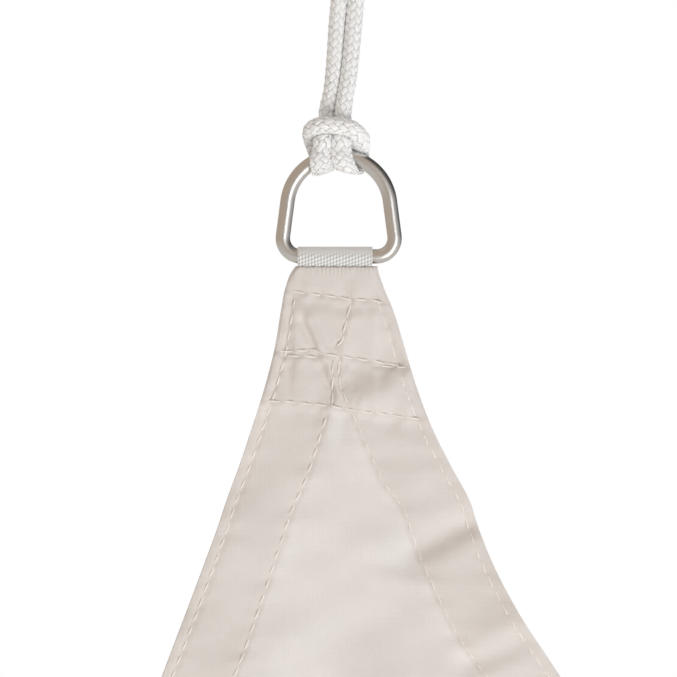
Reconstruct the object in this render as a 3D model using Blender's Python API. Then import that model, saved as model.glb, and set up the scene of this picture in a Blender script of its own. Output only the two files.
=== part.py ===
"""A triangular shade sail with 2 m sides, hung by its top corner.

Every corner has a webbing loop sewn into the cloth, with a steel D-ring on it. A doubled
rope is tied to the top ring with a cow hitch, and a hook holds the sail where the two
strands part, under the knot that joins their ends.

Metres, +Z up, +Y away from the viewer. The origin is where the hook bears on the rope.
Each corner has its own frame: its origin is the middle of the wire at the top of the
ring's arch, +X runs along the ring's bar, and +Z points out of the sail.
"""

import math

import bmesh
import bpy
import numpy as np
from mathutils import Matrix, Vector

MM = 0.001
GAP = 0.3 * MM

# D-ring
WIRE_RADIUS = 2.4 * MM
WIRE_SIDES = 12
ARCH_RADIUS = 17.2 * MM
LEG_FLARE = math.radians(7.4)
BEND_RADIUS = 6.1 * MM
BAR_DEPTH = 33.55 * MM
ARCH_STEPS = 13
BEND_STEPS = 5

# Webbing loop
WEBBING_WIDTH = 25.0 * MM
WEBBING_THICK = 0.9 * MM
WEBBING_END = 82.0 * MM
WEBBING_NECK = 38.3 * MM
WEBBING_SHIFT = -1.25 * MM
LOOP_STEPS = 14
CUTTER_SIDES = 16

# Sail
SIDE = 2.0
LEAN = math.radians(5.0)
CLOTH_THICK = 1.2 * MM
HEM_THICK = 1.8 * MM
HEM_WIDTH = 22.0 * MM
HEM_STEP = 1.5 * MM
POCKET_WALL = 1.0 * MM
POCKET_RIM = 0.3 * MM
POCKET_START = 5.0 * MM
PATCH_END = 84.5 * MM
RIM_END = 60.0 * MM
OPEN_DEPTH = 170.0 * MM
COLUMNS_INSIDE = 5
CLOSE_POINTS = 0.05 * MM

# The top corner's outline, in millimetres: how far below the arch's top each row lies, and
# how far from the ring's axis the cloth reaches to its left and to its right.
OUTLINE = [
    (38.5, 15.6, 13.2),
    (43.4, 17.6, 14.8),
    (51.4, 19.2, 18.1),
    (63.4, 21.2, 21.8),
    (75.4, 24.2, 25.4),
    (84.5, 26.9, 28.6),
    (91.4, 29.2, 31.4),
    (103.4, 33.2, 37.4),
    (115.4, 37.6, 43.8),
    (123.4, 40.2, 46.4),
    (135.4, 44.6, 51.1),
    (151.4, 50.6, 59.4),
    (171.4, 58.2, 72.4),
]
TIP_DEPTH = OUTLINE[0][0] * MM
# Where the rows beyond the outline lie, as shares of the way to the middle of each edge.
EDGE_ROWS = [0.03, 0.09, 0.18, 0.30, 0.45, 0.62, 0.80, 1.0]

# Soft folds that fan out from the top corner: height, folds across half the sail, and phase.
FAN_FOLDS = [
    (20.0 * MM, 1.1, 0.9),
    (10.0 * MM, 2.6, 2.5),
]
FAN_START = 0.10
FAN_FULL = 1.10
CORNER_FLAT = 0.12
CORNER_FREE = 0.60

# Short soft folds near the top corner, in millimetres: both ends, as x and depth in the
# corner's frame, then the half width and how far the fold stands towards the viewer.
SHORT_FOLDS = [
    (27.0, 121.0, 45.0, 113.0, 8.0, 1.6),
    (28.0, 136.0, 46.0, 128.0, 7.0, -1.6),
    (46.0, 162.0, 62.0, 155.0, 8.0, 1.2),
    (46.0, 174.0, 62.0, 168.0, 7.0, -1.2),
    (-40.0, 130.0, -20.0, 105.0, 9.0, 1.0),
    (5.0, 138.0, 22.0, 141.0, 9.0, -0.8),
]

# Rope: the hook bears on it at HANG, in the top corner's frame.
HANG = Vector((5.85, 0.0, 87.0)) * MM
ROPE_RADIUS = 2.7 * MM
TIGHT_ROPE_RADIUS = 2.3 * MM
ROPE_STEP = 6.0 * MM
HITCH_STEP = 1.9 * MM

# Routes in the top corner's frame, in millimetres: x to the right, up, and towards the viewer.
LEFT_STRAND = [
    (-3.7, 15.3, -0.9),
    (-2.8, 20.0, -1.3),
    (-2.1, 25.0, -1.3),
    (-1.45, 33.0, -1.0),
    (-0.8, 44.0, -0.5),
    (0.1, 52.0, 0.0),
    (0.2, 58.0, 0.0),
    (-1.1, 66.0, 0.0),
    (-2.35, 74.0, 0.0),
    (-1.95, 80.0, 0.0),
    (0.45, 86.0, 0.0),
    (2.4, 90.0, 0.0),
    (3.55, 94.0, 0.0),
]
RIGHT_STRAND = [
    (1.55, 15.3, 1.4),
    (2.3, 20.0, 1.3),
    (3.3, 25.0, 0.9),
    (4.3, 33.0, 0.3),
    (5.3, 44.0, 0.0),
    (5.75, 52.0, 0.0),
    (6.65, 58.0, 0.0),
    (9.3, 66.0, 0.0),
    (11.85, 74.0, 0.0),
    (12.45, 80.0, 0.0),
    (11.05, 86.0, 0.0),
    (9.8, 90.0, 0.0),
    (9.25, 94.0, 0.0),
]
HITCH = [
    (-3.8, 14.6, -0.8),
    (-4.0, 10.5, -0.8),
    (-4.5, 6.6, 0.8),
    (-5.7, 3.0, 4.2),
    (-6.2, -0.9, 5.3),
    (-5.8, -5.0, 3.6),
    (-5.2, -6.3, 0.0),
    (-5.4, -5.0, -3.5),
    (-6.2, -1.0, -5.4),
    (-7.7, 3.4, -4.9),
    (-9.5, 7.0, -1.8),
    (-8.7, 9.2, 2.6),
    (-4.6, 10.0, 5.6),
    (0.2, 9.6, 6.2),
    (4.4, 8.6, 5.5),
    (7.0, 6.2, 2.8),
    (7.6, 3.6, -1.4),
    (7.3, 0.9, -4.9),
    (6.2, -2.6, -5.6),
    (4.8, -5.6, -3.4),
    (3.3, -6.1, 0.2),
    (2.1, -4.9, 3.6),
    (1.0, -0.9, 5.4),
    (0.7, 3.4, 4.2),
    (0.9, 7.2, 0.9),
    (1.2, 10.5, 0.4),
    (1.5, 14.6, 1.4),
]

# End knot: three turns of one strand round the other.
KNOT_FOOT = Vector((3.6, 0.0, 95.1)) * MM
KNOT_LEAN = math.radians(4.8)
KNOT_TURNS = 3
KNOT_SIDES = 16
TURN_HEIGHT = 5.6 * MM
TURN_RIDGE = 8.2 * MM
TURN_VALLEY = 7.2 * MM
TURN_FLAT = (0.3, 0.7)
TAIL_SIDES = 10
TAIL_LENGTH = 12.0 * MM
SIDE_TAIL_AT = Vector((-4.2, 3.2, 0.0)) * MM
SIDE_TAIL_LENGTH = 9.0 * MM
SIDE_TAIL_TURN = (math.radians(-9.0), math.radians(-10.0))


def material(name, color, roughness, metallic=0.0):
    made = bpy.data.materials.new(name)
    made.use_nodes = True
    shader = made.node_tree.nodes["Principled BSDF"]
    shader.inputs["Base Color"].default_value = (*color, 1.0)
    shader.inputs["Roughness"].default_value = roughness
    shader.inputs["Metallic"].default_value = metallic
    return made


def add_object(name, data, finish=None, parent=None):
    """A new object of that mesh or curve, under the empty given."""
    obj = bpy.data.objects.new(name, data)
    bpy.context.scene.collection.objects.link(obj)
    obj.parent = parent
    if finish and finish.name not in data.materials:
        data.materials.append(finish)
    return obj


def finished_mesh(name, shape):
    bmesh.ops.recalc_face_normals(shape, faces=shape.faces)
    mesh = bpy.data.meshes.new(name)
    shape.to_mesh(mesh)
    shape.free()
    return mesh


def smooth_edges(obj, angle=35.0):
    obj.data.shade_smooth()
    obj.data.set_sharp_from_angle(angle=math.radians(angle))


def boolean(obj, operation, other):
    """Adds or cuts with another object, which then leaves the render."""
    step = obj.modifiers.new(other.name, "BOOLEAN")
    step.operation = operation
    step.object = other
    other.hide_render = True
    other.display_type = "WIRE"


def ease(value, low, high):
    """0 up to low, 1 from high on, and a smooth rise between."""
    share = min(max((value - low) / (high - low), 0.0), 1.0)
    return share * share * (3.0 - 2.0 * share)


# ---- corners ----


def corner_empties():
    """The three corners' frames: top, left and right."""
    tip_top = Vector((-HANG.x, 0.0, -HANG.z - TIP_DEPTH))
    half = math.radians(30.0)
    left_edge = Vector((-math.sin(half - LEAN), 0.0, -math.cos(half - LEAN)))
    right_edge = Vector((math.sin(half + LEAN), 0.0, -math.cos(half + LEAN)))
    third = math.radians(120.0)
    places = [
        ("corner_top", tip_top, 0.0),
        ("corner_left", tip_top + SIDE * left_edge, -third - LEAN),
        ("corner_right", tip_top + SIDE * right_edge, third - LEAN),
    ]
    found = []
    for name, tip, turn in places:
        empty = add_object(name, None)
        outward = Vector((math.sin(turn), 0.0, math.cos(turn)))
        empty.location = tip + TIP_DEPTH * outward
        empty.rotation_euler = (0.0, turn, 0.0)
        found.append(empty)
    bpy.context.view_layer.update()
    return found


# ---- D-rings ----


def arc(centre, radius, start, end, steps):
    """Points on an arc in the XZ plane; angles run from +X towards +Z."""
    points = []
    for step in range(steps + 1):
        angle = start + (end - start) * step / steps
        x = centre[0] + radius * math.cos(angle)
        z = centre[1] + radius * math.sin(angle)
        points.append(Vector((x, 0.0, z)))
    return points


def ring_route():
    """The wire's middle line: the arch, two flaring legs, two bends and the bar."""
    half_turn = math.pi
    arch = arc((0.0, -ARCH_RADIUS), ARCH_RADIUS, LEG_FLARE, half_turn - LEG_FLARE, ARCH_STEPS)
    leg_top = arch[0]
    bend_z = -BAR_DEPTH + BEND_RADIUS
    # The bend's middle is one radius in from the flaring leg's line.
    reach = math.sin(LEG_FLARE) * (leg_top.z - bend_z) - BEND_RADIUS
    bend_x = leg_top.x + reach / math.cos(LEG_FLARE)
    right = arc((bend_x, bend_z), BEND_RADIUS, -half_turn / 2, LEG_FLARE, BEND_STEPS)
    left = [Vector((-p.x, 0.0, p.z)) for p in reversed(right)]
    return arch + left + right


def ring_curve(finish):
    """The wire has a flat at the top of the arch, on the inside, where a shackle bears."""
    curve = bpy.data.curves.new("ring", "CURVE")
    curve.dimensions = "3D"
    curve.bevel_depth = WIRE_RADIUS
    curve.bevel_resolution = (WIRE_SIDES - 4) // 2
    route = ring_route()
    spline = curve.splines.new("POLY")
    spline.points.add(len(route) - 1)
    for point, place in zip(spline.points, route):
        point.co = (*place, 1.0)
        point.tilt = math.pi / WIRE_SIDES
    spline.use_cyclic_u = True
    spline.use_smooth = True
    curve.materials.append(finish)
    return curve


# ---- webbing ----


def webbing_mesh():
    """A strip that wraps the bar and comes back on itself, as one outline drawn sideways."""
    outer = WIRE_RADIUS + GAP + WEBBING_THICK
    start = math.radians(-30.0)
    outline = []
    for step in range(LOOP_STEPS + 1):
        angle = start + (math.pi - 2 * start) * step / LOOP_STEPS
        y = outer * math.cos(angle)
        z = -BAR_DEPTH + outer * math.sin(angle)
        outline.append((y, z))
    outline.append((-WEBBING_THICK, -WEBBING_NECK))
    outline.append((-WEBBING_THICK, -WEBBING_END))
    outline.append((WEBBING_THICK, -WEBBING_END))
    outline.append((WEBBING_THICK, -WEBBING_NECK))
    shape = bmesh.new()
    corners = [shape.verts.new((-WEBBING_WIDTH / 2, y, z)) for y, z in outline]
    face = shape.faces.new(corners)
    pulled = bmesh.ops.extrude_face_region(shape, geom=[face])
    moved = [part for part in pulled["geom"] if isinstance(part, bmesh.types.BMVert)]
    bmesh.ops.translate(shape, verts=moved, vec=(WEBBING_WIDTH, 0.0, 0.0))
    return finished_mesh("webbing", shape)


def bar_cutter(parent):
    """The round space that the webbing leaves for the ring's bar."""
    radius = (WIRE_RADIUS + GAP) / math.cos(math.pi / CUTTER_SIDES)
    shape = bmesh.new()
    across = Matrix.Rotation(math.pi / 2, 4, "Y")
    lifted = Matrix.Translation((0.0, 0.0, -BAR_DEPTH))
    bmesh.ops.create_cone(
        shape,
        cap_ends=True,
        segments=CUTTER_SIDES,
        radius1=radius,
        radius2=radius,
        depth=2 * WEBBING_WIDTH,
        matrix=lifted @ across,
    )
    return add_object("bar_cutter", finished_mesh("bar_cutter", shape), parent=parent)


# ---- sail ----


def outline_rows(corner, lopsided):
    """The rows near a corner: the left edge, the middle and the right edge of each."""
    rows = []
    for depth, left, right in OUTLINE:
        if not lopsided:
            left = right = (left + right) / 2
        opening = ease(depth * MM, PATCH_END, OPEN_DEPTH)
        middle = webbing_shift(lopsided) * (1.0 - opening) + (right - left) / 2 * MM * opening
        across = (-left * MM, middle, right * MM)
        rows.append([corner @ Vector((x, 0.0, -depth * MM)) for x in across])
    return rows


def webbing_shift(lopsided):
    """The top corner's webbing sits a little to the left on its bar."""
    return WEBBING_SHIFT if lopsided else 0.0


def edge_curve(rows_a, rows_b):
    """The free edge from the last left-hand row end of one corner to the right-hand one of the next."""
    start = rows_a[-1][0]
    end = rows_b[-1][2]
    span = (end - start).length
    out_slope = (start - rows_a[-2][0]).normalized() * span
    in_slope = (rows_b[-2][2] - end).normalized() * span

    def at(share):
        u = share
        return (
            (2 * u**3 - 3 * u**2 + 1) * start
            + (u**3 - 2 * u**2 + u) * out_slope
            + (3 * u**2 - 2 * u**3) * end
            + (u**3 - u**2) * in_slope
        )

    return at


def sector_rows(near_rows, left_edge, right_edge, centre):
    """All rows of one corner's third of the sail, out to the middles of its two edges."""
    rows = list(near_rows)
    last_middle = near_rows[-1][1]
    for share in EDGE_ROWS:
        left = left_edge(share / 2)
        right = right_edge(1.0 - share / 2)
        rows.append([left, last_middle.lerp(centre, share), right])
    return rows


def half_row(edge, middle):
    """Places along one half of a row, from its edge to the middle line."""
    width = (middle - edge).length
    pocket_side = WEBBING_WIDTH / 2 + GAP + POCKET_RIM
    hem = min(HEM_WIDTH, max(width - pocket_side, POCKET_RIM))
    inner = hem + min(HEM_STEP, (width - hem) / 3)
    places = [0.0, hem, inner]
    places += [
        inner + (width - inner) * step / COLUMNS_INSIDE
        for step in range(1, COLUMNS_INSIDE + 1)
    ]
    return [(edge.lerp(middle, place / width), place) for place in places]


def fan_height(place, tips):
    """How far back the wide folds swing the cloth out of its plane."""
    top, left, right = tips
    arm = place - top
    axis = ((left + right) / 2 - top).normalized()
    across = Vector((-axis.z, 0.0, axis.x))
    turn = math.atan2(arm.dot(across), arm.dot(axis)) / math.radians(30.0)
    height = sum(h * math.sin(math.pi * count * turn + phase) for h, count, phase in FAN_FOLDS)
    calm = min(
        ease((place - left).length, CORNER_FLAT, CORNER_FREE),
        ease((place - right).length, CORNER_FLAT, CORNER_FREE),
    )
    return height * calm * ease(arm.length, FAN_START, FAN_FULL)


def short_fold_height(x, depth):
    """How far the short folds push the cloth towards the viewer, in the top corner's frame."""
    place = Vector((x, depth)) / MM
    height = 0.0
    for x1, depth1, x2, depth2, half_width, rise in SHORT_FOLDS:
        start = Vector((x1, depth1))
        line = Vector((x2, depth2)) - start
        share = min(max((place - start).dot(line) / line.length_squared, 0.0), 1.0)
        away = (place - start - share * line).length / half_width
        height += rise * MM * math.exp(-away * away)
    return height


def cloth_thickness(depth, from_edge):
    """The patch at a corner holds the webbing; past it come the hem and the single cloth."""
    patch = 2 * (WEBBING_THICK + GAP + POCKET_WALL)
    if depth > PATCH_END + GAP:
        return HEM_THICK if from_edge < HEM_WIDTH + GAP else CLOTH_THICK
    if from_edge > 0.0:
        return patch
    return patch + (HEM_THICK - patch) * ease(depth, TIP_DEPTH, RIM_END)


def sail_mesh(corners):
    """Two skins over one net of rows and columns, joined round the rim."""
    frames = [corner.matrix_world.copy() for corner in corners]
    tips = [frame @ Vector((0.0, 0.0, -TIP_DEPTH)) for frame in frames]
    centre = sum(tips, Vector()) / 3
    near = [outline_rows(frame, index == 0) for index, frame in enumerate(frames)]
    edges = [edge_curve(near[i], near[(i + 1) % 3]) for i in range(3)]
    shape = bmesh.new()
    depths = shape.verts.layers.float.new("thickness")
    for index, frame in enumerate(frames):
        rows = sector_rows(near[index], edges[index], edges[index - 1], centre)
        net = []
        for left, middle, right in rows:
            left_half = half_row(left, middle)
            right_half = half_row(right, middle)
            line = left_half + right_half[-2::-1]
            depth = -(frame.inverted() @ middle).z
            verts = []
            for place, from_edge in line:
                vert = shape.verts.new(place)
                vert[depths] = cloth_thickness(depth, from_edge)
                verts.append(vert)
            net.append(verts)
        for upper, lower in zip(net, net[1:]):
            for column in range(len(upper) - 1):
                quad = (upper[column], lower[column], lower[column + 1], upper[column + 1])
                shape.faces.new(quad)
    bmesh.ops.remove_doubles(shape, verts=shape.verts, dist=CLOSE_POINTS)
    pulled = bmesh.ops.extrude_face_region(shape, geom=shape.faces[:])
    back = {part for part in pulled["geom"] if isinstance(part, bmesh.types.BMVert)}
    top = frames[0].translation
    for vert in shape.verts:
        half = vert[depths] / 2
        swing = fan_height(vert.co.copy(), tips)
        swing -= short_fold_height(vert.co.x - top.x, top.z - vert.co.z)
        vert.co.y = swing + (half if vert in back else -half)
    return finished_mesh("sail_cloth", shape)


def pocket_cutter(name, shift, parent):
    """The slot between the two faces of a corner patch, which holds the webbing's ends."""
    width = WEBBING_WIDTH + 2 * GAP
    thick = 2 * (WEBBING_THICK + GAP)
    top = -TIP_DEPTH + POCKET_START
    bottom = -WEBBING_END - GAP
    shape = bmesh.new()
    bmesh.ops.create_cube(shape, size=1.0)
    bmesh.ops.scale(shape, vec=(width, thick, top - bottom), verts=shape.verts)
    bmesh.ops.translate(shape, vec=(shift, 0.0, (top + bottom) / 2), verts=shape.verts)
    return add_object(name, finished_mesh(name, shape), parent=parent)


# ---- rope ----


def smooth_route(points, step):
    """Evenly spaced points on a smooth curve through the route's own points."""
    route = np.array([(x, -near, up) for x, up, near in points]) * MM
    ends = [2 * route[0] - route[1]], [2 * route[-1] - route[-2]]
    padded = np.concatenate([ends[0], route, ends[1]])
    share = np.linspace(0.0, 1.0, 24, endpoint=False)[:, None]
    pieces = []
    for a, b, c, d in zip(padded, padded[1:], padded[2:], padded[3:]):
        bend = (2 * a - 5 * b + 4 * c - d) * share**2
        turn = (-a + 3 * b - 3 * c + d) * share**3
        pieces.append(b + ((c - a) * share + bend + turn) / 2)
    dense = np.concatenate([*pieces, route[-1:]])
    lengths = np.linalg.norm(np.diff(dense, axis=0), axis=1)
    along = np.concatenate([[0.0], np.cumsum(lengths)])
    count = max(round(along[-1] / step), 2)
    wanted = np.linspace(0.0, along[-1], count + 1)
    return np.stack([np.interp(wanted, along, dense[:, k]) for k in range(3)], axis=1)


def rope_tube(name, points, radius, step, finish, parent):
    curve = bpy.data.curves.new(name, "CURVE")
    curve.dimensions = "3D"
    curve.bevel_depth = radius
    curve.bevel_resolution = 3
    curve.use_fill_caps = True
    route = smooth_route(points, step)
    spline = curve.splines.new("POLY")
    spline.points.add(len(route) - 1)
    for point, place in zip(spline.points, route):
        point.co = (*place, 1.0)
    spline.use_smooth = True
    return add_object(name, curve, finish, parent)


def knot_barrel():
    """The turns of the end knot as one turned form, a ridge for each turn."""
    profile = [(0.0, 0.0), (TURN_VALLEY - TURN_HEIGHT / 4, 0.0)]
    for turn in range(KNOT_TURNS):
        foot = turn * TURN_HEIGHT
        if turn:
            profile.append((TURN_VALLEY, foot))
        for share in TURN_FLAT:
            profile.append((TURN_RIDGE, foot + TURN_HEIGHT * share))
    top = KNOT_TURNS * TURN_HEIGHT
    profile += [(TURN_VALLEY - TURN_HEIGHT / 4, top), (0.0, top)]
    shape = bmesh.new()
    line = [shape.verts.new((x, 0.0, z)) for x, z in profile]
    sides = [shape.edges.new(pair) for pair in zip(line, line[1:])]
    bmesh.ops.spin(
        shape,
        geom=line + sides,
        axis=(0.0, 0.0, 1.0),
        cent=(0.0, 0.0, 0.0),
        angle=2 * math.pi,
        steps=KNOT_SIDES,
        use_merge=True,
    )
    bmesh.ops.remove_doubles(shape, verts=shape.verts, dist=CLOSE_POINTS)
    return finished_mesh("rope_end_knot", shape)


def rope_tail(name, foot, length, turn, parent):
    """A short end of rope that comes out of the knot's top."""
    bite = TURN_HEIGHT / 2
    shape = bmesh.new()
    bmesh.ops.create_cone(
        shape,
        cap_ends=True,
        segments=TAIL_SIDES,
        radius1=ROPE_RADIUS,
        radius2=ROPE_RADIUS,
        depth=length + bite,
        matrix=Matrix.Translation((0.0, 0.0, (length - bite) / 2)),
    )
    tail = add_object(name, finished_mesh(name, shape), parent=parent)
    tail.location = foot
    tail.rotation_euler = (*turn, 0.0)
    return tail


def end_knot(finish, parent):
    knot = add_object("rope_end_knot", knot_barrel(), finish, parent)
    knot.location = KNOT_FOOT
    knot.rotation_euler = (0.0, KNOT_LEAN, 0.0)
    top = Vector((0.0, 0.0, KNOT_TURNS * TURN_HEIGHT))
    straight = rope_tail("straight_tail", top, TAIL_LENGTH, (0.0, 0.0), knot)
    leaning = rope_tail("side_tail", top + SIDE_TAIL_AT, SIDE_TAIL_LENGTH, SIDE_TAIL_TURN, knot)
    boolean(knot, "UNION", straight)
    boolean(knot, "UNION", leaning)


# ---- the whole sail ----


def build():
    for obj in list(bpy.data.objects):
        bpy.data.objects.remove(obj)
    cloth = material("cloth", (0.73, 0.68, 0.62), 0.85)
    webbing = material("webbing", (0.78, 0.77, 0.74), 0.75)
    steel = material("steel", (0.60, 0.58, 0.55), 0.3, metallic=1.0)
    rope = material("rope", (0.82, 0.80, 0.77), 0.6)

    corners = corner_empties()
    sides = ("top", "left", "right")
    ring = ring_curve(steel)
    strip = webbing_mesh()
    sail = add_object("sail_cloth", sail_mesh(corners), cloth)
    for side, corner in zip(sides, corners):
        shift = webbing_shift(side == "top")
        add_object(f"ring_{side}", ring, steel, corner)
        loop = add_object(f"webbing_{side}", strip, webbing, corner)
        loop.location = (shift, 0.0, 0.0)
        boolean(loop, "DIFFERENCE", bar_cutter(corner))
        boolean(sail, "DIFFERENCE", pocket_cutter(f"pocket_{side}", shift, corner))
    smooth_edges(sail)

    top = corners[0]
    rope_tube("rope_hitch", HITCH, TIGHT_ROPE_RADIUS, HITCH_STEP, rope, top)
    rope_tube("rope_strand_left", LEFT_STRAND, ROPE_RADIUS, ROPE_STEP, rope, top)
    rope_tube("rope_strand_right", RIGHT_STRAND, ROPE_RADIUS, ROPE_STEP, rope, top)
    end_knot(rope, top)


build()
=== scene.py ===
"""The looks of a triangular shade sail, hung by its top corner from a doubled rope.

Metres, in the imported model's frame: +Z up, +Y away from the viewer, the origin where the hook
bears on the rope. A corner's own frame has its origin at the top of the ring's arch, x along
the ring's bar, and depth measured from the arch into the sail.
"""

import math

import bmesh
import bpy
import numpy as np
from mathutils import Matrix, Vector
from mathutils.bvhtree import BVHTree


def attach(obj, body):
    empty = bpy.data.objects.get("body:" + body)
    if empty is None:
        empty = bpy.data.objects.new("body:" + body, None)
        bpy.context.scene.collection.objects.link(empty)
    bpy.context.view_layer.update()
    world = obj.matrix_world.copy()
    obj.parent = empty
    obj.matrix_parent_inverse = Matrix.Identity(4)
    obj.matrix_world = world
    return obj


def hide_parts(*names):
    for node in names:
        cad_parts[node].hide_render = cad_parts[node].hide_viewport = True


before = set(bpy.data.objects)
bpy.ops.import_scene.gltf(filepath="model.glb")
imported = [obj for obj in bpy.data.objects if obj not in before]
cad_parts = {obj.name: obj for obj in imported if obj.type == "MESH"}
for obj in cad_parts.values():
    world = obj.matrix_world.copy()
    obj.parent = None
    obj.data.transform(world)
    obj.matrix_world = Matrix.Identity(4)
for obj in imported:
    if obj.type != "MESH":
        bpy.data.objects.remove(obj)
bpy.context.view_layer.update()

MM = 0.001

# ---- the sail's sizes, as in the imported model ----
SIDE = 2.0
LEAN = math.radians(5.0)
HALF_CORNER = math.radians(30.0)
HANG = np.array((5.85, 0.0, 87.0)) * MM
TIP_DEPTH = 38.5 * MM
PATCH_END = 84.5 * MM
OPEN_DEPTH = 170.0 * MM
WEBBING_SHIFT = -1.25 * MM

# The photographed corner's outline, in millimetres: depth, reach to the left, reach to the right.
OUTLINE = [
    (36.8, 14.3, 12.9),
    (38.5, 15.6, 13.2),
    (43.4, 17.6, 14.8),
    (51.4, 19.2, 18.1),
    (63.4, 21.2, 21.8),
    (75.4, 24.2, 25.4),
    (84.5, 26.9, 28.6),
    (91.4, 29.2, 31.4),
    (103.4, 33.2, 37.4),
    (115.4, 37.6, 43.8),
    (123.4, 40.2, 46.4),
    (135.4, 44.6, 51.1),
    (151.4, 50.6, 59.4),
    (171.4, 58.2, 72.4),
]

# Wide folds that fan out from the top corner: height, folds across half the sail, phase.
FAN_FOLDS = [
    (20.0 * MM, 1.1, 0.9),
    (10.0 * MM, 2.6, 2.5),
]
# Distances over which they grow: from the top tip, and from each lower tip.
FAN_GROWS = (0.10, 1.10)
CORNER_FREES = (0.12, 0.60)

# Short soft folds of the top corner, in millimetres: two ends as x and depth, the half width
# and how far the fold stands towards the viewer.
SHORT_FOLDS = [
    (27.0, 121.0, 45.0, 113.0, 8.0, 1.1),
    (28.0, 136.0, 46.0, 128.0, 7.0, -1.3),
    (46.0, 162.0, 62.0, 155.0, 8.0, 1.2),
    (46.0, 174.0, 62.0, 168.0, 7.0, -1.2),
    (-40.0, 130.0, -20.0, 105.0, 9.0, 1.0),
    (5.0, 138.0, 22.0, 141.0, 9.0, -0.8),
    (30.0, 187.0, 75.0, 153.0, 25.0, 4.2),
    (-8.0, 122.0, 4.0, 108.0, 9.0, 0.8),
    (-20.0, 160.0, 8.0, 150.0, 11.0, 0.9),
]

# Creases of a corner, in millimetres: two ends as x and depth, the half width, and the tilt of
# the cloth between the crease's crest and trough. A positive tilt faces up and to the left.
CREASES = [
    (-14.0, 49.5, -10.5, 51.0, 2.4, 0.34),
    (-10.9, 55.1, -7.2, 63.4, 1.3, 1.15),
    (-6.0, 66.5, -1.2, 79.5, 1.3, 1.0),
    (-6.5, 50.5, -3.0, 51.0, 2.0, 0.20),
    (7.1, 51.3, 13.5, 52.0, 2.0, 0.32),
    (6.0, 77.6, 17.5, 72.5, 5.2, 0.44),
    (19.5, 63.0, 22.5, 69.0, 2.0, 0.28),
    (9.0, 89.5, 24.0, 93.0, 3.4, 0.26),
    (-6.8, 93.0, -5.0, 98.0, 2.2, 0.22),
    (0.0, 86.5, -0.6, 92.0, 2.2, -0.24),
    (33.0, 112.0, 39.5, 119.0, 4.5, -0.10),
    (12.0, 99.0, 28.0, 103.0, 6.0, 0.10),
    (27.6, 133.6, 43.8, 125.4, 3.8, 0.58),
    (45.0, 171.4, 60.4, 165.2, 3.8, 0.50),
    (11.4, 137.6, 27.0, 139.5, 3.0, 0.22),
    (-26.2, 148.7, -10.6, 172.0, 4.0, 0.18),
    (-33.0, 127.5, -23.0, 135.0, 3.0, 0.18),
    (-9.6, 110.7, 2.8, 117.0, 4.5, -0.12),
    (-17.0, 133.0, -9.6, 144.0, 4.5, -0.12),
    (-6.2, 144.0, 11.4, 153.0, 5.0, -0.12),
]
TILT_SIDE = np.array((-0.6, -0.8))
# Depths over which the creases die away, and where the ripples are at their full height.
CREASES_END = (180.0 * MM, 300.0 * MM)
RIPPLES_FULL = 110.0 * MM

# Low uneven waves all over the cloth: length, direction, height and phase.
RIPPLES = [
    (61.0 * MM, 0.3, 0.70 * MM, 0.4),
    (43.0 * MM, 1.4, 0.55 * MM, 2.1),
    (29.0 * MM, 2.5, 0.30 * MM, 5.0),
    (21.0 * MM, 0.9, 0.20 * MM, 1.3),
    (15.0 * MM, 2.0, 0.10 * MM, 3.7),
]

# ---- cloth and its seams ----
# Half thicknesses, in front of the cloth's middle and behind it, and the slope of the patch's
# lower edge.
RIM_HALF = 0.30 * MM
FRONT_HALF = 0.35 * MM
SINGLE_BACK = 0.20 * MM
HEM_BACK = 0.75 * MM
PATCH_HALF = 1.25 * MM
PATCH_SLOPE = 0.11
# Where one thickness passes into the next, from the edge, the patch's end and the webbing's side.
RIM_ROUND = (-0.6 * MM, 1.2 * MM)
PATCH_FADE = (-1.0 * MM, 2.5 * MM)
WEBBED_FADE = 3.0 * MM
# Half the thickness over the webbing: depth and half thickness, in millimetres.
WEBBED_HALF = [
    (36.8, 1.9),
    (37.4, 2.3),
    (38.5, 2.35),
    (42.0, 2.2),
    (47.0, 1.75),
    (55.0, 1.95),
    (66.0, 1.9),
    (75.0, 2.1),
    (82.0, 1.6),
    (84.5, 1.2),
]
EDGE_SEAM = 3.4 * MM
SEAM_PINCH = 0.55 * MM
PINCH_VARIES = 0.3
SEAM_HALF_WIDTH = 0.85 * MM
PUCKER_HEIGHT = 0.22 * MM
PUCKER_REACH = 5.0 * MM
PUCKER_LENGTHS = (8.3 * MM, 13.1 * MM)
# How much of the pinch and the puckers show at a hem's seam, and at the seam beside the edge.
HEM_SHARES = (0.32, 0.6)
EDGE_SHARES = (0.6, 0.5)
SEAM_FADE = 2.0 * MM
TIP_FADE = 4.0 * MM
# Slanting pulls of the cloth, one for each stitch.
PULL_HEIGHT = 0.10 * MM
PULL_REACH = 2.6 * MM
PULL_SLANT = 0.7
# The turned edge of the patch's upper layer, above each of its seams. LAYER_WAY is the way that
# counts as below a seam.
LAYER_WAY = np.array((0.3, 0.95))
LAYER_STEP = 0.58 * MM
LAYER_RUN = 0.9 * MM
LAYER_ABOVE = 0.9 * MM
LAYER_REACH = 3.0 * MM
LAYER_VARIES = 0.2
# Fine broken creases beside the patch's edges.
EDGE_CREASE_HEIGHT = 0.10 * MM
EDGE_CREASE_WIDTH = 1.9 * MM
EDGE_CREASE_REACH = 2.2 * MM
EDGE_CREASE_RUNS = (4.3 * MM, 11.61 * MM)
EDGE_CREASE_VARIES = 0.4
# The pocket that the webbing comes out of, and the fine ribs across its lip.
POCKET_DEPTH = 4.5 * MM
POCKET_HALF = 1.05 * MM
POCKET_PLAY = 0.4 * MM
POCKET_SPARE = 1.0 * MM
LIP_THICK = 0.55 * MM
LIP_RIB = 0.18 * MM
LIP_RIB_PITCH = 1.3 * MM
LIP_END = 40.5 * MM
LIP_FADE = 3.0 * MM

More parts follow.
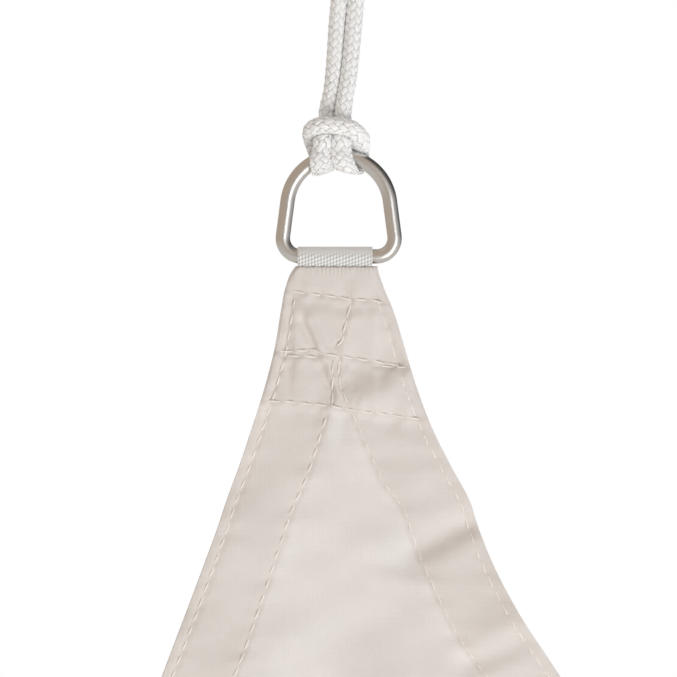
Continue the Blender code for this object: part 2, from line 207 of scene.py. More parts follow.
# Seams of a corner patch, in millimetres, each a run of x and depth.
PATCH_SEAMS = [
    [(-16.9, 44.8), (-12.1, 45.7), (-7.1, 46.3), (-1.2, 46.9), (3.8, 47.9), (10.8, 48.0),
     (16.7, 49.3)],
    [(-21.2, 65.3), (-12.9, 64.9), (-7.9, 64.6), (-5.4, 66.2), (-1.2, 66.4), (4.6, 67.4),
     (12.9, 68.6), (19.6, 69.9), (23.1, 69.4)],
    [(-18.5, 66.9), (-13.0, 66.6), (-7.0, 67.0)],
    [(12.6, 70.0), (18.0, 70.3), (22.6, 70.5)],
    [(-25.2, 81.7), (-16.2, 81.9), (-10.9, 82.5), (-3.7, 83.2), (1.3, 84.0), (7.9, 85.2),
     (15.0, 86.0), (21.3, 87.0), (28.6, 87.8)],
    [(4.1, 48.3), (2.1, 56.7), (0.8, 62.2), (-2.1, 64.7)],
    [(-1.9, 66.9), (-2.1, 77.2), (-2.1, 83.4)],
    [(0.0, 66.9), (0.0, 74.7), (2.1, 80.6), (3.8, 83.6)],
]
EDGE_SEAM_START = 45.5 * MM
HEM_SEAM_START = 85.5 * MM
# The top corner's hem seams, in millimetres: depth, and how far the left and the right one are
# from their edges.
HEM_SEAMS = [
    (77.0, 21.8, 25.0),
    (84.0, 22.0, 23.0),
    (90.0, 22.2, 22.2),
    (98.0, 22.6, 21.9),
    (109.0, 22.4, 22.3),
    (123.0, 21.7, 21.8),
    (131.0, 21.6, 21.6),
    (142.0, 22.0, 20.9),
    (165.0, 22.7, 20.7),
    (300.0, 21.0, 21.0),
]
HEM_LIP = 1.0 * MM
STITCH_PITCH = 5.2 * MM
STITCH_GAP = 0.6 * MM
STITCH_SLANT = 0.18 * MM
# Where the first stitch on each face starts, as a share of the pitch.
FRONT_START = 0.25
BACK_START = 0.75
THREAD_RADIUS = 0.34 * MM
THREAD_SIDES = 5
THREAD_CUTS = 2
THREAD_TIP = 0.02
# A thread's middle stands higher and is thicker than its ends, as shares of its radius.
THREAD_LIFT = (-0.8, 0.9)
THREAD_END = 0.75
EDGE_SEAM_SUNK = 0.24 * MM
ACROSS_SEAM_SUNK = 0.12 * MM
HEM_SEAM_SUNK = 0.20 * MM
SEAM_WANDER = 0.25 * MM
WANDER_LENGTHS = (17.0 * MM, 41.0 * MM)
# Stitches are placed on a seam's points this far apart, and dropped on the cloth from here.
FINE_STEP = 0.1 * MM
RAY_START = 0.3

# How finely the cloth is divided. Of two values, the first is for the top corner. HEM_MOST and
# FOLD_MOST are the largest shares of half a row that a hem and the fold beside it take.
HEM_COLUMNS = 25
INNER_COLUMNS = 24
HEM_CROWDING = 1.25
HEM_MOST = 0.55
FOLD_WIDTH = 0.9 * MM
FOLD_MOST = 0.1
PATCH_ROWS_END = 92.0 * MM
PATCH_STEP = (0.65 * MM, 1.6 * MM)
NEAR_STEP = (1.2 * MM, 3.0 * MM)
FAR_ROWS = (66, 42)
FAR_GROWTH = (4.0, 3.0)
SAME_POINT = 0.02 * MM

# ---- D-rings ----
WIRE_RADIUS = 2.4 * MM
WIRE_SIDES = 32
ARCH_RADIUS = 17.2 * MM
LEG_FLARE = math.radians(7.4)
BEND_RADIUS = 6.1 * MM
BAR_DEPTH = 33.55 * MM
ARCH_STEPS = 64
BEND_STEPS = 20
LINE_STEPS = 400

# ---- webbing ----
WEBBING_WIDTH = 25.0 * MM
WEBBING_THICK = 0.8 * MM
WEBBING_GAP = 0.05 * MM
WEBBING_NECK = 38.3 * MM
NECK_LENGTH = 4.0 * MM
WEBBING_END = 82.0 * MM
LOOP_START = math.radians(-30.0)
LOOP_POINTS = 160
STRAP_RIM = 0.03
RIM_THINNING = 0.8
BEAD_PITCH = 1.04 * MM
BEAD_LENGTH = 1.26 * MM
BEAD_SLANT = -0.30
BEAD_LEAN = 0.4
BEAD_RELIEF = 0.24 * MM
BEAD_FLOOR = 0.15
# Powers of a wave: the lower, the fuller the bead.
BEAD_FULLNESS = (0.7, 0.8)
# The strap is worn smooth where it bends over the top of the bar, and its colour is painted paler
# there: painted light on the top of the bend.
WORN_SHARE = 0.75
WORN_BEND = (-0.15, 0.45)
LIT_TOP_BEND = (0.0, 0.95)
WEBBING_COLUMNS = 168
LOOP_ROWS = 100
POCKET_ROWS = 18

# ---- rope ----
# The rope's route in the top corner's frame, in millimetres: x, up, and towards the viewer.
LEFT_STRAND = [
    (-3.7, 15.3, -0.9),
    (-2.6, 20.0, -0.9),
    (-1.85, 25.0, -0.8),
    (-1.2, 33.0, -0.6),
    (-0.5, 44.0, -0.4),
    (0.2, 52.0, 0.0),
    (0.2, 58.0, 0.0),
    (-1.1, 66.0, 0.0),
    (-2.35, 74.0, 0.0),
    (-1.95, 80.0, 0.0),
    (0.45, 86.0, 0.0),
    (2.4, 90.0, 0.0),
    (3.55, 94.0, 0.0),
]
RIGHT_STRAND = [
    (1.55, 15.3, 1.4),
    (2.2, 20.0, 1.0),
    (3.05, 25.0, 0.7),
    (4.0, 33.0, 0.4),
    (5.0, 44.0, 0.1),
    (5.65, 52.0, 0.0),
    (6.65, 58.0, 0.0),
    (9.3, 66.0, 0.0),
    (11.85, 74.0, 0.0),
    (12.45, 80.0, 0.0),
    (11.05, 86.0, 0.0),
    (9.8, 90.0, 0.0),
    (9.25, 94.0, 0.0),
]
HITCH = [
    (-4.0, 10.5, -0.8),
    (-4.5, 6.6, 1.1),
    (-5.7, 3.0, 4.4),
    (-6.2, -0.9, 5.3),
    (-5.3, -4.9, 3.6),
    (-4.7, -6.1, 0.0),
    (-4.9, -4.9, -3.5),
    (-5.9, -1.0, -5.4),
    (-7.5, 3.4, -4.9),
    (-9.0, 7.0, -1.8),
    (-8.4, 9.1, 2.6),
    (-4.6, 10.0, 5.4),
    (0.2, 9.6, 5.9),
    (4.4, 8.6, 5.3),
    (6.8, 6.2, 2.8),
    (7.2, 3.6, -1.4),
    (6.8, 0.9, -4.9),
    (5.6, -2.5, -5.6),
    (4.3, -5.2, -3.4),
    (3.0, -5.8, 0.2),
    (2.1, -4.8, 3.6),
    (1.0, -0.9, 5.4),
    (0.7, 3.4, 4.4),
    (0.9, 7.2, 1.2),
    (1.2, 10.5, 0.4),
]
ROUTE_STEP = 0.4 * MM
ROUTE_CUTS = 24
# How the wire flattens the rope, in millimetres: distance from the wire's middle, before and
# after. That ends over PRESS_END's heights above the top of the arch.
WIRE_PRESS = [(2.3, 2.5), (8.2, 5.6), (12.5, 11.5)]
PRESS_END = (1.5 * MM, 7.0 * MM)
# How much wider the rope lies on the wire, and the distances over which that dies away.
WIRE_SPREAD = 0.32
SPREAD_REACH = (6.5 * MM, 10.5 * MM)
# Below this height the hitch's bends are pulled level, to this share of their drop.
LEVEL_HEIGHT = -5.4 * MM
LEVEL_SHARE = 0.65

# The braid: sixteen bundles, eight each way, over two and under two.
BUNDLES_EACH_WAY = 8
BRAID_LAY = 23.0 * MM
BRAID_MIDDLE = 2.08 * MM
BRAID_SWING = 0.44 * MM
BUNDLE_WIDTH = 1.80 * MM
BUNDLE_THICK = 1.04 * MM
BUNDLE_SIDES = 12
# A groove along the middle of each bundle, between its two yarns: depth and width, as shares.
YARN_GROOVE = 0.5
GROOVE_WIDTH = 0.3
BUNDLE_STEP = 0.5 * MM
CORE_RADIUS = 1.6 * MM
FLOAT_FLATNESS = 1.5
FLOAT_PERIOD = 4

# End knot: turns of one strand round the other, in the knot's own leaning frame.
KNOT_FOOT = np.array((3.6, 0.0, 95.1)) * MM
KNOT_LEAN = math.radians(4.8)
KNOT_TURNS = 2.4
KNOT_POINTS = 60
TURN_RADIUS = 5.5 * MM
TURN_RISE = 5.55 * MM
FIRST_TURN = 2.7 * MM
# Heights in the knot's frame between which the left strand's tail runs straight.
STRAIGHT_TAIL = (2.0 * MM, 28.0 * MM)
TAIL_POINTS = 8
# The right strand's tail rises this far above its turns, and bends outwards.
SIDE_TAIL = 11.0 * MM
TAIL_BEND = 2.5 * MM
TAIL_FLARE = 1.05
MELTED_RADIUS = 2.75 * MM
MELTED_SQUASH = 0.42
MELTED_SIDES = 28

# ---- camera, floor and light ----
CAMERA_BACK = 1.4
PICTURE_HEIGHT = 225.67 * MM
PICTURE_MIDDLE = np.array((-5.92, 0.0, -147.9)) * MM
SENSOR = 36.0
FLOOR_LEVEL = -2.12
FLOOR_HALF = 9.0
# Lights: name, azimuth, elevation, distance, width and height, power, colour, what they light.
LIGHTS = [
    ("lamp", 32.0, -36.0, 1.6, (0.6, 0.6), 15.0, (0.97, 0.99, 1.0), "matt"),
    ("window", 31.0, -17.0, 1.6, (0.70, 1.35), 7.5, (1.0, 1.0, 1.0), "gloss"),
    ("fill", -35.0, 20.0, 2.2, (1.6, 1.2), 8.3, (1.0, 0.99, 0.98), "matt"),
]
# The room that glossy surfaces show, and the haze that lights matt ones. Each starts as one
# colour, and each row lays another over it: the way to its middle, the cosines of the angles
# from that way at which it starts and is full, and its colour.
ROOM_START = (0.50, 0.41, 0.33)
ROOM_PATCHES = [
    ((0.85, 0.0, -0.53), -0.2, 0.7, (0.41, 0.41, 0.42)),
    ((0.55, 0.70, 0.46), 0.72, 0.88, (0.02, 0.02, 0.02)),
    ((0.72, 0.0, 0.69), 0.80, 0.92, (0.05, 0.045, 0.04)),
    ((0.0, -1.0, 0.0), 0.970, 0.995, (0.28, 0.26, 0.24)),
    ((0.70, -0.65, -0.29), 0.87, 0.97, (0.80, 0.82, 0.85)),
]
HAZE_START = (0.70, 0.73, 0.77)
HAZE_PATCHES = [
    ((-0.6, 0.0, 0.8), -0.5, 0.9, (0.42, 0.34, 0.26)),
    ((0.0, 1.0, 0.0), -0.1, 0.6, (0.85, 0.85, 0.85)),
    ((0.0, 1.0, 0.0), 0.7, 1.0, (1.7, 1.7, 1.7)),
]

# ---- colours: the two ends that each finish mixes ----
# The darker colour of the layered cloth is painted shade: it stands in for the light that shines
# through a single layer and not through the hems and patches.
CLOTH_SINGLE, CLOTH_LAYERED_SHADED = (0.702, 0.669, 0.641), (0.657, 0.612, 0.579)
# The thread's darker end colour is painted shade, for the shade in the needle holes.
THREAD_MIDDLE, THREAD_SHADED_ENDS = (0.77, 0.725, 0.685), (0.56, 0.50, 0.45)
# The webbing's low colour is painted shade between its beads, and its pale colour is painted light
# on the top of its bend.
WEBBING_SHADED_LOW, WEBBING_HIGH = (0.30, 0.29, 0.275), (0.865, 0.87, 0.865)
WEBBING_LIT_TOP = (0.80, 0.80, 0.78)
STEEL_DARK, STEEL_LIGHT = (0.66, 0.65, 0.63), (0.82, 0.81, 0.79)
ROPE_DARK, ROPE_LIGHT = (0.90, 0.90, 0.90), (0.98, 0.98, 0.98)
MELTED_DARK, MELTED_LIGHT = (0.62, 0.54, 0.42), (0.84, 0.80, 0.72)
FLOOR_COLOUR = (0.93, 0.93, 0.92, 1.0)
PAPER_COLOUR = (1.0, 1.0, 1.0, 1.0)
# The cloth's weave: its pitch, how uneven its threads are, and how many bands a wave texture of
# scale 1 draws over 2 pi metres.
WEAVE_PITCH = 0.42 * MM
WEAVE_UNEVEN = 0.6
WAVE_BANDS = 20.0


# ---- small helpers ----


def ease(value, low, high):
    """0 up to low, 1 from high on, and a smooth rise between."""
    share = np.clip((value - low) / (high - low), 0.0, 1.0)
    return share * share * (3.0 - 2.0 * share)


def sizes(vectors):
    return np.linalg.norm(vectors, axis=-1)


def unit(vectors):
    return vectors / sizes(vectors)[..., None]


def nearest_point(run, places):
    """The number of the point of a run that is nearest to each place."""
    return np.argmin(sizes(places[:, None] - run[None]), axis=1)


def bell(distance, width):
    """1 at no distance, dying away smoothly over a few widths."""
    return np.exp(-((distance / width) ** 2))


def wave(travelled, length):
    return np.cos(2 * math.pi * travelled / length)


def curve_shares(u):
    """What a smooth curve takes, at a share u of its way, of its start and the slope there, and
    of its end and the slope there."""
    return 2 * u**3 - 3 * u**2 + 1, u**3 - 2 * u**2 + u, 3 * u**2 - 2 * u**3, u**3 - u**2


def lengths_along(run):
    """The length travelled at each point of a run of points."""
    return np.concatenate([[0.0], np.cumsum(sizes(np.diff(run, axis=0)))])


def read_places(mesh):
    places = np.zeros(len(mesh.vertices) * 3, np.float32)
    mesh.vertices.foreach_get("co", places)
    return places.reshape(-1, 3).astype(float)


def write_places(mesh, places):
    mesh.vertices.foreach_set("co", places.astype(np.float32).ravel())
    mesh.update()


def write_values(mesh, name, values):
    """Keeps a number or a vector for each point, which the materials read by its name."""
    kind, key = ("FLOAT", "value") if values.ndim == 1 else ("FLOAT_VECTOR", "vector")
    made = mesh.attributes.new(name, kind, "POINT")
    made.data.foreach_set(key, values.astype(np.float32).ravel())


def of_kind(parts, kind):
    return [part for part in parts if isinstance(part, kind)]


def mesh_of(name, shape):
    bmesh.ops.recalc_face_normals(shape, faces=shape.faces)
    mesh = bpy.data.meshes.new(name)
    shape.to_mesh(mesh)
    shape.free()
    mesh.shade_smooth()
    return mesh


def turned_out(mesh):
    """Points every face outwards, after the mesh has been bent to its place."""
    shape = bmesh.new()
    shape.from_mesh(mesh)
    bmesh.ops.recalc_face_normals(shape, faces=shape.faces)
    shape.to_mesh(mesh)
    shape.free()
    return mesh


def new_object(name, data):
    made = bpy.data.objects.new(name, data)
    bpy.context.scene.collection.objects.link(made)
    return made


def add_piece(name, mesh, finish, stands_for=()):
    """A finished piece of the sail, which rides on its one body."""
    piece = new_object(name, mesh)
    mesh.materials.append(finish)
    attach(piece, "root")
    if stands_for:
        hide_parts(*stands_for)
    return piece


def add_node(tree, kind, inputs=None, **settings):
    """A shader node with its inputs set to values or linked to other nodes' outputs."""
    made = tree.nodes.new("ShaderNode" + kind)
    for name, value in settings.items():
        setattr(made, name, value)
    for socket, value in (inputs or {}).items():
        if isinstance(value, bpy.types.NodeSocket):
            tree.links.new(value, made.inputs[socket])
        else:
            made.inputs[socket].default_value = value
    return made


def new_finish(name, **values):
    """A material with its shader's own sockets set, its node tree and the shader."""
    made = bpy.data.materials.new(name)
    made.use_nodes = True
    shader = made.node_tree.nodes["Principled BSDF"]
    for socket, value in values.items():
        shader.inputs[socket.replace("_", " ")].default_value = value
    return made, made.node_tree, shader


def between(tree, share, low, high):
    """A colour between two others, by a share from 0 to 1."""
    mix = add_node(tree, "Mix", {"Factor": share}, data_type="RGBA")
    for socket, value in zip([s for s in mix.inputs if s.type == "RGBA"], (low, high)):
        if isinstance(value, bpy.types.NodeSocket):
            tree.links.new(value, socket)
        else:
            socket.default_value = (*value, 1.0)
    return next(s for s in mix.outputs if s.type == "RGBA")


def mesh_value(tree, name, output="Fac"):
    """A number or a vector that the mesh keeps for each point."""
    return add_node(tree, "Attribute", attribute_name=name).outputs[output]


def object_place(tree):
    return add_node(tree, "TexCoord").outputs["Object"]


def noise(tree, place, scale, detail, roughness=0.5):
    inputs = {"Vector": place, "Scale": scale, "Detail": detail, "Roughness": roughness}
    return add_node(tree, "TexNoise", inputs).outputs["Fac"]


def stretched(tree, place, scale):
    return add_node(tree, "Mapping", {"Vector": place, "Scale": scale}).outputs["Vector"]


def remap(tree, value, known, wanted=(0.0, 1.0)):
    """Turns a value in the known range into one in the wanted range."""
    inputs = {0: value, 1: known[0], 2: known[1], 3: wanted[0], 4: wanted[1]}
    return add_node(tree, "MapRange", inputs).outputs[0]


def maths(tree, operation, *values):
    return add_node(tree, "Math", dict(enumerate(values)), operation=operation).outputs[0]


def shaded(tree, colour, share):
    return add_node(tree, "VectorMath", {0: colour, "Scale": share}, operation="SCALE").outputs[0]


def bump(tree, shader, height, distance, strength=1.0, under=None):
    """Tilts the surface by a height, on top of another bump where one is given."""
    inputs = {"Height": height, "Distance": distance, "Strength": strength}
    if under is not None:
        inputs["Normal"] = under
    made = add_node(tree, "Bump", inputs)
    tree.links.new(made.outputs["Normal"], shader.inputs["Normal"])
    return made.outputs["Normal"]


# ---- the corners' frames ----


def corner_frames():
    """The top, left and right corners: each an origin, the way across and the way out."""
    top_tip = np.array((-HANG[0], 0.0, -HANG[2] - TIP_DEPTH))
    left, right = HALF_CORNER - LEAN, HALF_CORNER + LEAN
    left_edge = np.array((-math.sin(left), 0.0, -math.cos(left)))
    right_edge = np.array((math.sin(right), 0.0, -math.cos(right)))
    tips = [top_tip, top_tip + SIDE * left_edge, top_tip + SIDE * right_edge]
    third = math.radians(120.0)
    turns = [0.0, -third - LEAN, third - LEAN]
    frames = []
    for tip, turn in zip(tips, turns):
        out = np.array((math.sin(turn), 0.0, math.cos(turn)))
        across = np.array((math.cos(turn), 0.0, -math.sin(turn)))
        frames.append((tip + TIP_DEPTH * out, across, out))
    return frames, np.array(tips)


CORNERS, TIPS = corner_frames()
SIDES = ("top", "left", "right")


def shift_of(corner):
    """How far right of its bar's middle the webbing sits: the top corner's sits to the left."""
    return WEBBING_SHIFT if corner == 0 else 0.0


def at_corner(corner, x, depth, near=0.0):
    """Points given in a corner's frame: x, depth, and how far towards the viewer."""
    origin, across, out = CORNERS[corner]
    x, depth, near = np.broadcast_arrays(x, depth, near)
    back = np.array((0.0, 1.0, 0.0))
    return origin + x[..., None] * across - depth[..., None] * out - near[..., None] * back


def in_corner(corner, places):
    origin, across, out = CORNERS[corner]
    arm = places - origin
    return arm @ across, -(arm @ out)


# ---- the sail's net of rows and columns ----


def smooth_table(table, wanted):
    """Reads a table, whose first column rises, along smooth curves through its rows."""
    table = np.array(table)
    known, values = table[:, 0], table[:, 1:]
    slopes = np.gradient(values, known, axis=0)
    row = np.clip(np.searchsorted(known, wanted) - 1, 0, len(known) - 2)
    width = (known[row + 1] - known[row])[:, None]
    start, leaving, end, arriving = curve_shares((wanted - known[row])[:, None] / width)
    first = start * values[row] + leaving * width * slopes[row]
    return first + (end * values[row + 1] + arriving * width * slopes[row + 1])


def rows_near(corner, depths):
    """Left edge, middle and right edge of the rows near a corner."""
    left, right = smooth_table(OUTLINE, depths / MM).T * MM
    if corner > 0:
        left = right = (left + right) / 2
    opening = ease(depths, PATCH_END, OPEN_DEPTH)
    middle = shift_of(corner) * (1.0 - opening) + (right - left) / 2 * opening
    ends = [at_corner(corner, x, depths) for x in (-left, middle, right)]
    return np.stack(ends, axis=1)


def edge_curve(rows_a, rows_b, share):
    """The free edge from the left side of one corner to the right side of the next."""
    first, last = rows_a[-1, 0], rows_b[-1, 2]
    span = sizes(last - first)
    out_slope = unit(first - rows_a[-2, 0]) * span
    in_slope = unit(rows_b[-2, 2] - last) * span
    start, leaving, end, arriving = curve_shares(share[:, None])
    return start * first + leaving * out_slope + end * last + arriving * in_slope


def sector_rows():
    """For each corner, all its rows out to the middles of its two edges."""
    first = OUTLINE[0][0] * MM
    ends = np.array([OUTLINE[-2][0], OUTLINE[-1][0]]) * MM
    last = [rows_near(corner, ends) for corner in range(3)]
    centre = TIPS.mean(axis=0)
    sectors = []
    for corner in range(3):
        coarse = min(corner, 1)
        patch_count = round((PATCH_ROWS_END - first) / PATCH_STEP[coarse])
        near_count = round((ends[1] - PATCH_ROWS_END) / NEAR_STEP[coarse])
        patch = np.linspace(first, PATCH_ROWS_END, patch_count, endpoint=False)
        beyond = np.linspace(PATCH_ROWS_END, ends[1], near_count + 1)
        near = rows_near(corner, np.concatenate([patch, beyond]))
        growth = FAR_GROWTH[coarse]
        steps = np.linspace(0.0, growth, FAR_ROWS[coarse] + 1)[1:]
        share = (np.exp(steps) - 1.0) / (math.exp(growth) - 1.0)
        after, before = (corner + 1) % 3, (corner + 2) % 3
        left = edge_curve(last[corner], last[after], share / 2)
        right = edge_curve(last[before], last[corner], 1.0 - share / 2)
        middle = last[corner][-1, 1] + (centre - last[corner][-1, 1]) * share[:, None]
        sectors.append(np.concatenate([near, np.stack([left, middle, right], axis=1)]))
    return sectors


def hem_seam(corner, depth, side):
    """How far a hem's seam is from the edge on the left (0) or right (1) of a corner."""
    table = np.array(HEM_SEAMS) * MM
    if corner > 0:
        return np.full(len(depth), table[-1, 1])
    return np.interp(depth, table[:, 0], table[:, 1 + side])


def half_columns(edge, middle, seam):
    """Places along one half of each row. For each: its point, its distance square to the edge,
    the way along the edge, and how far the hem's seam is from the edge there."""
    along = unit(np.gradient(edge, axis=0))
    inward = middle - edge
    width = sizes(inward)
    square = sizes(np.cross(along, inward / width[:, None]))
    hem = np.minimum((seam + HEM_LIP) / square, HEM_MOST * width)
    fold = hem + np.minimum(FOLD_WIDTH, FOLD_MOST * width)
    folded = np.linspace(0.0, 1.0, HEM_COLUMNS + 1) ** HEM_CROWDING * hem[:, None]
    open_share = np.linspace(0.0, 1.0, INNER_COLUMNS + 1)
    inner = fold[:, None] + open_share * (width - fold)[:, None]
    place = np.concatenate([folded, inner], axis=1)
    points = edge[:, None] + inward[:, None] * (place / width[:, None])[..., None]
    ones = np.ones(place.shape)
    travelled = ones * lengths_along(edge)[:, None]
    return points, place * square[:, None], travelled, ones * seam[:, None]


def whole_rows(corner, rows):
    """Both halves of each row side by side, with what half_columns gives for each."""
    halves = []
    for side in (0, 1):
        edge = rows[:, 2 * side]
        _, depth = in_corner(corner, edge)
        halves.append(half_columns(edge, rows[:, 1], hem_seam(corner, depth, side)))
    return [np.concatenate([a, b[:, -2::-1]], axis=1) for a, b in zip(*halves)]


# ---- the sail's relief ----


def fan_height(places):
    """How far back the wide folds swing the cloth out of its plane."""
    arm = places - TIPS[0]
    axis = unit((TIPS[1] + TIPS[2]) / 2 - TIPS[0])
    across = np.array((-axis[2], 0.0, axis[0]))
    turn = np.arctan2(arm @ across, arm @ axis) / HALF_CORNER
    height = sum(rise * np.sin(np.pi * count * turn + phase) for rise, count, phase in FAN_FOLDS)
    calm = np.minimum(
        ease(sizes(places - TIPS[1]), *CORNER_FREES),
        ease(sizes(places - TIPS[2]), *CORNER_FREES),
    )
    return height * calm * ease(sizes(arm), *FAN_GROWS)


def from_line(flat, start, end):
    """The way from the nearest point of a straight line to each point, and the share along it."""
    start, end = np.array(start), np.array(end)
    line = end - start
    share = np.clip(((flat - start) @ line) / (line @ line), 0.0, 1.0)
    return flat - start - share[:, None] * line, share


def short_fold_height(flat):
    """How far the short folds stand towards the viewer."""
    height = np.zeros(len(flat))
    for x1, depth1, x2, depth2, half_width, rise in SHORT_FOLDS:
        away, _ = from_line(flat / MM, (x1, depth1), (x2, depth2))
        height += rise * MM * bell(sizes(away), half_width)
    return height


def crease_height(flat):
    """A crest beside a trough along each crease, towards the viewer."""
    height = np.zeros(len(flat))
    for x1, depth1, x2, depth2, half_width, tilt in CREASES:
        square = unit(np.array((depth1 - depth2, x2 - x1)))
        if square @ TILT_SIDE < 0:
            square = -square
        away, _ = from_line(flat / MM, (x1, depth1), (x2, depth2))
        reach = bell(sizes(away), math.sqrt(2.0) * half_width)
        height -= tilt * MM * (away @ square) * reach
    return height


def ripple_height(places):
    height = np.zeros(len(places))
    for length, direction, rise, phase in RIPPLES:
        way = places[:, 0] * math.cos(direction) + places[:, 2] * math.sin(direction)
        height += rise * np.sin(2 * math.pi * way / length + phase)
    return height


def patch_seam_distance(flat):
    """How far each point is from the nearest seam of a corner patch, how far below it the
    point lies, and the way along the seam."""
    nearest = np.full(len(flat), np.inf)
    below, along = np.zeros(len(flat)), np.zeros(len(flat))
    for seam in PATCH_SEAMS:
        run = np.array(seam) * MM
        travelled = 0.0
        for start, end in zip(run, run[1:]):
            away, share = from_line(flat, start, end)
            distance = sizes(away)
            closer = distance < nearest
            nearest[closer] = distance[closer]
            below[closer] = (away @ LAYER_WAY)[closer]
            along[closer] = travelled + share[closer] * sizes(end - start)
            travelled += sizes(end - start)
    return nearest, below, along


def layer_edge(distance, below, along):
    """The step up to the upper layer just above a seam, which dies away below it."""
    stitch = 1.0 - LAYER_VARIES + LAYER_VARIES * wave(along, STITCH_PITCH)
    step = ease(below + LAYER_ABOVE, 0.0, LAYER_RUN)
    return LAYER_STEP * stitch * step * bell(distance, LAYER_REACH)


def seam_relief(distance, along):
    """The pinch under a row of stitches and the puckers beside it, as a drop and a rise."""
    stitch = 1.0 + PINCH_VARIES * wave(along, STITCH_PITCH)
    pinch = SEAM_PINCH * stitch * bell(distance, SEAM_HALF_WIDTH)
    waves = sum(np.sin(2 * math.pi * along / length) for length in PUCKER_LENGTHS)
    pucker = PUCKER_HEIGHT * waves * bell(distance, PUCKER_REACH)
    slanted = wave(along + PULL_SLANT * distance, STITCH_PITCH)
    return pinch, pucker + PULL_HEIGHT * slanted * bell(distance, PULL_REACH)


def edge_creases(from_edge, travelled):
    """Fine creases that run beside the edge where the patch's layers are turned in."""
    short, long = EDGE_CREASE_RUNS
    broken = np.sin(travelled / short) * np.sin(travelled / long + 1.0)
    crease = np.sin(2 * math.pi * from_edge / EDGE_CREASE_WIDTH + broken)
    strength = 1.0 - EDGE_CREASE_VARIES + EDGE_CREASE_VARIES * broken
    reach = bell(from_edge - EDGE_SEAM, EDGE_CREASE_REACH)
    return EDGE_CREASE_HEIGHT * crease * reach * strength


def seen_way_round(corner, places):
    """Places as x and depth in a corner's frame. The left corner is made as a mirror image."""
    x, depth = in_corner(corner, places)
    return np.stack([x if corner != 1 else -x, depth], axis=1)


def cloth_swing(corner, places):
    """How far back the cloth hangs, with its folds and creases but without its seams."""
    flat = seen_way_round(corner, places)
    depth = flat[:, 1]
    swing = fan_height(places) - ripple_height(places) * ease(depth, TIP_DEPTH, RIPPLES_FULL)
    swing -= crease_height(flat) * (1.0 - ease(depth, *CREASES_END))
    if corner == 0:
        swing -= short_fold_height(flat)
    return swing


def seam_heights(flat, from_edge, travelled, seam, in_patch):
    """What all the seams do at each point: the pinch into the cloth, and the swing of both its
    faces."""
    depth = flat[:, 1]
    past_patch = ease(depth, PATCH_END - SEAM_FADE, PATCH_END + SEAM_FADE)
    past_tip = ease(depth, EDGE_SEAM_START - TIP_FADE, EDGE_SEAM_START)
    distance, below, along = patch_seam_distance(flat)
    pinch, pucker = seam_relief(distance, along)
    pucker -= layer_edge(distance, below, along)
    hem_pinch, hem_pucker = seam_relief(from_edge - seam, travelled)
    edge_pinch, edge_pucker = seam_relief(from_edge - EDGE_SEAM, travelled)
    pinch += HEM_SHARES[0] * past_patch * hem_pinch + EDGE_SHARES[0] * past_tip * edge_pinch
    pucker += HEM_SHARES[1] * past_patch * hem_pucker + EDGE_SHARES[1] * past_tip * edge_pucker
    return pinch, pucker - edge_creases(from_edge, travelled) * in_patch * past_tip


def sail_facts(corner, places, from_edge, travelled, seam):
    """For each point of a sector: how far back it lies, both half thicknesses, and its layers."""
    flat = seen_way_round(corner, places)
    depth = flat[:, 1]
    patch_end = PATCH_END + PATCH_SLOPE * flat[:, 0]
    in_patch = 1.0 - ease(depth, patch_end + PATCH_FADE[0], patch_end + PATCH_FADE[1])
    in_hem = 1.0 - ease(from_edge, seam + HEM_LIP, seam + HEM_LIP + FOLD_WIDTH)
    off_middle = np.abs(flat[:, 0] - shift_of(corner))
    over_webbing = 1.0 - ease(off_middle, WEBBING_WIDTH / 2, WEBBING_WIDTH / 2 + WEBBED_FADE)
    table = np.array(WEBBED_HALF) * MM
    webbed = np.interp(depth, table[:, 0], table[:, 1])
    patch = PATCH_HALF + (webbed - PATCH_HALF) * over_webbing
    front = FRONT_HALF + (patch - FRONT_HALF) * in_patch
    back = SINGLE_BACK + (HEM_BACK - SINGLE_BACK) * in_hem
    back = back + (patch - back) * in_patch

    pinch, pucker = seam_heights(flat, from_edge, travelled, seam, in_patch)
    rim = ease(from_edge, *RIM_ROUND)
    front = RIM_HALF + (front - RIM_HALF) * rim - pinch
    back = RIM_HALF + (back - RIM_HALF) * rim - pinch * in_patch
    at_lip = 1.0 - ease(depth, LIP_END - LIP_FADE, LIP_END)
    front += LIP_RIB * wave(off_middle, LIP_RIB_PITCH) * at_lip * over_webbing
    cover = POCKET_HALF + RIM_HALF
    covered = over_webbing * (depth < WEBBING_END + POCKET_SPARE)
    front = np.where(covered > 0.5, np.maximum(front, pucker + cover), front)
    back = np.where(covered > 0.5, np.maximum(back, cover - pucker), back)
    return cloth_swing(corner, places) + pucker, front, back, np.maximum(in_hem, in_patch)


def lay_net(shape, sectors):
    """Puts the grids' points at their places in the sail's plane. Returns the facts by point."""
    number = shape.verts.layers.int.new("number")
    facts = []
    first = 0
    grids = {}
    for vert in shape.verts:
        grids.setdefault(round(vert.co.z), []).append(vert)
    for corner, rows in enumerate(sectors):
        points, *about = whole_rows(corner, rows)
        height, width = points.shape[:2]
        flat = points.reshape(-1, 3)
        facts.append(np.stack(sail_facts(corner, flat, *(value.ravel() for value in about))))
        for vert in grids[corner]:
            column = round((vert.co.x + 1) / 2 * (width - 1))
            row = round((vert.co.y + 1) / 2 * (height - 1))
            vert.co = flat[row * width + column]
            vert[number] = first + row * width + column
        first += len(flat)
    return np.concatenate(facts, axis=1)


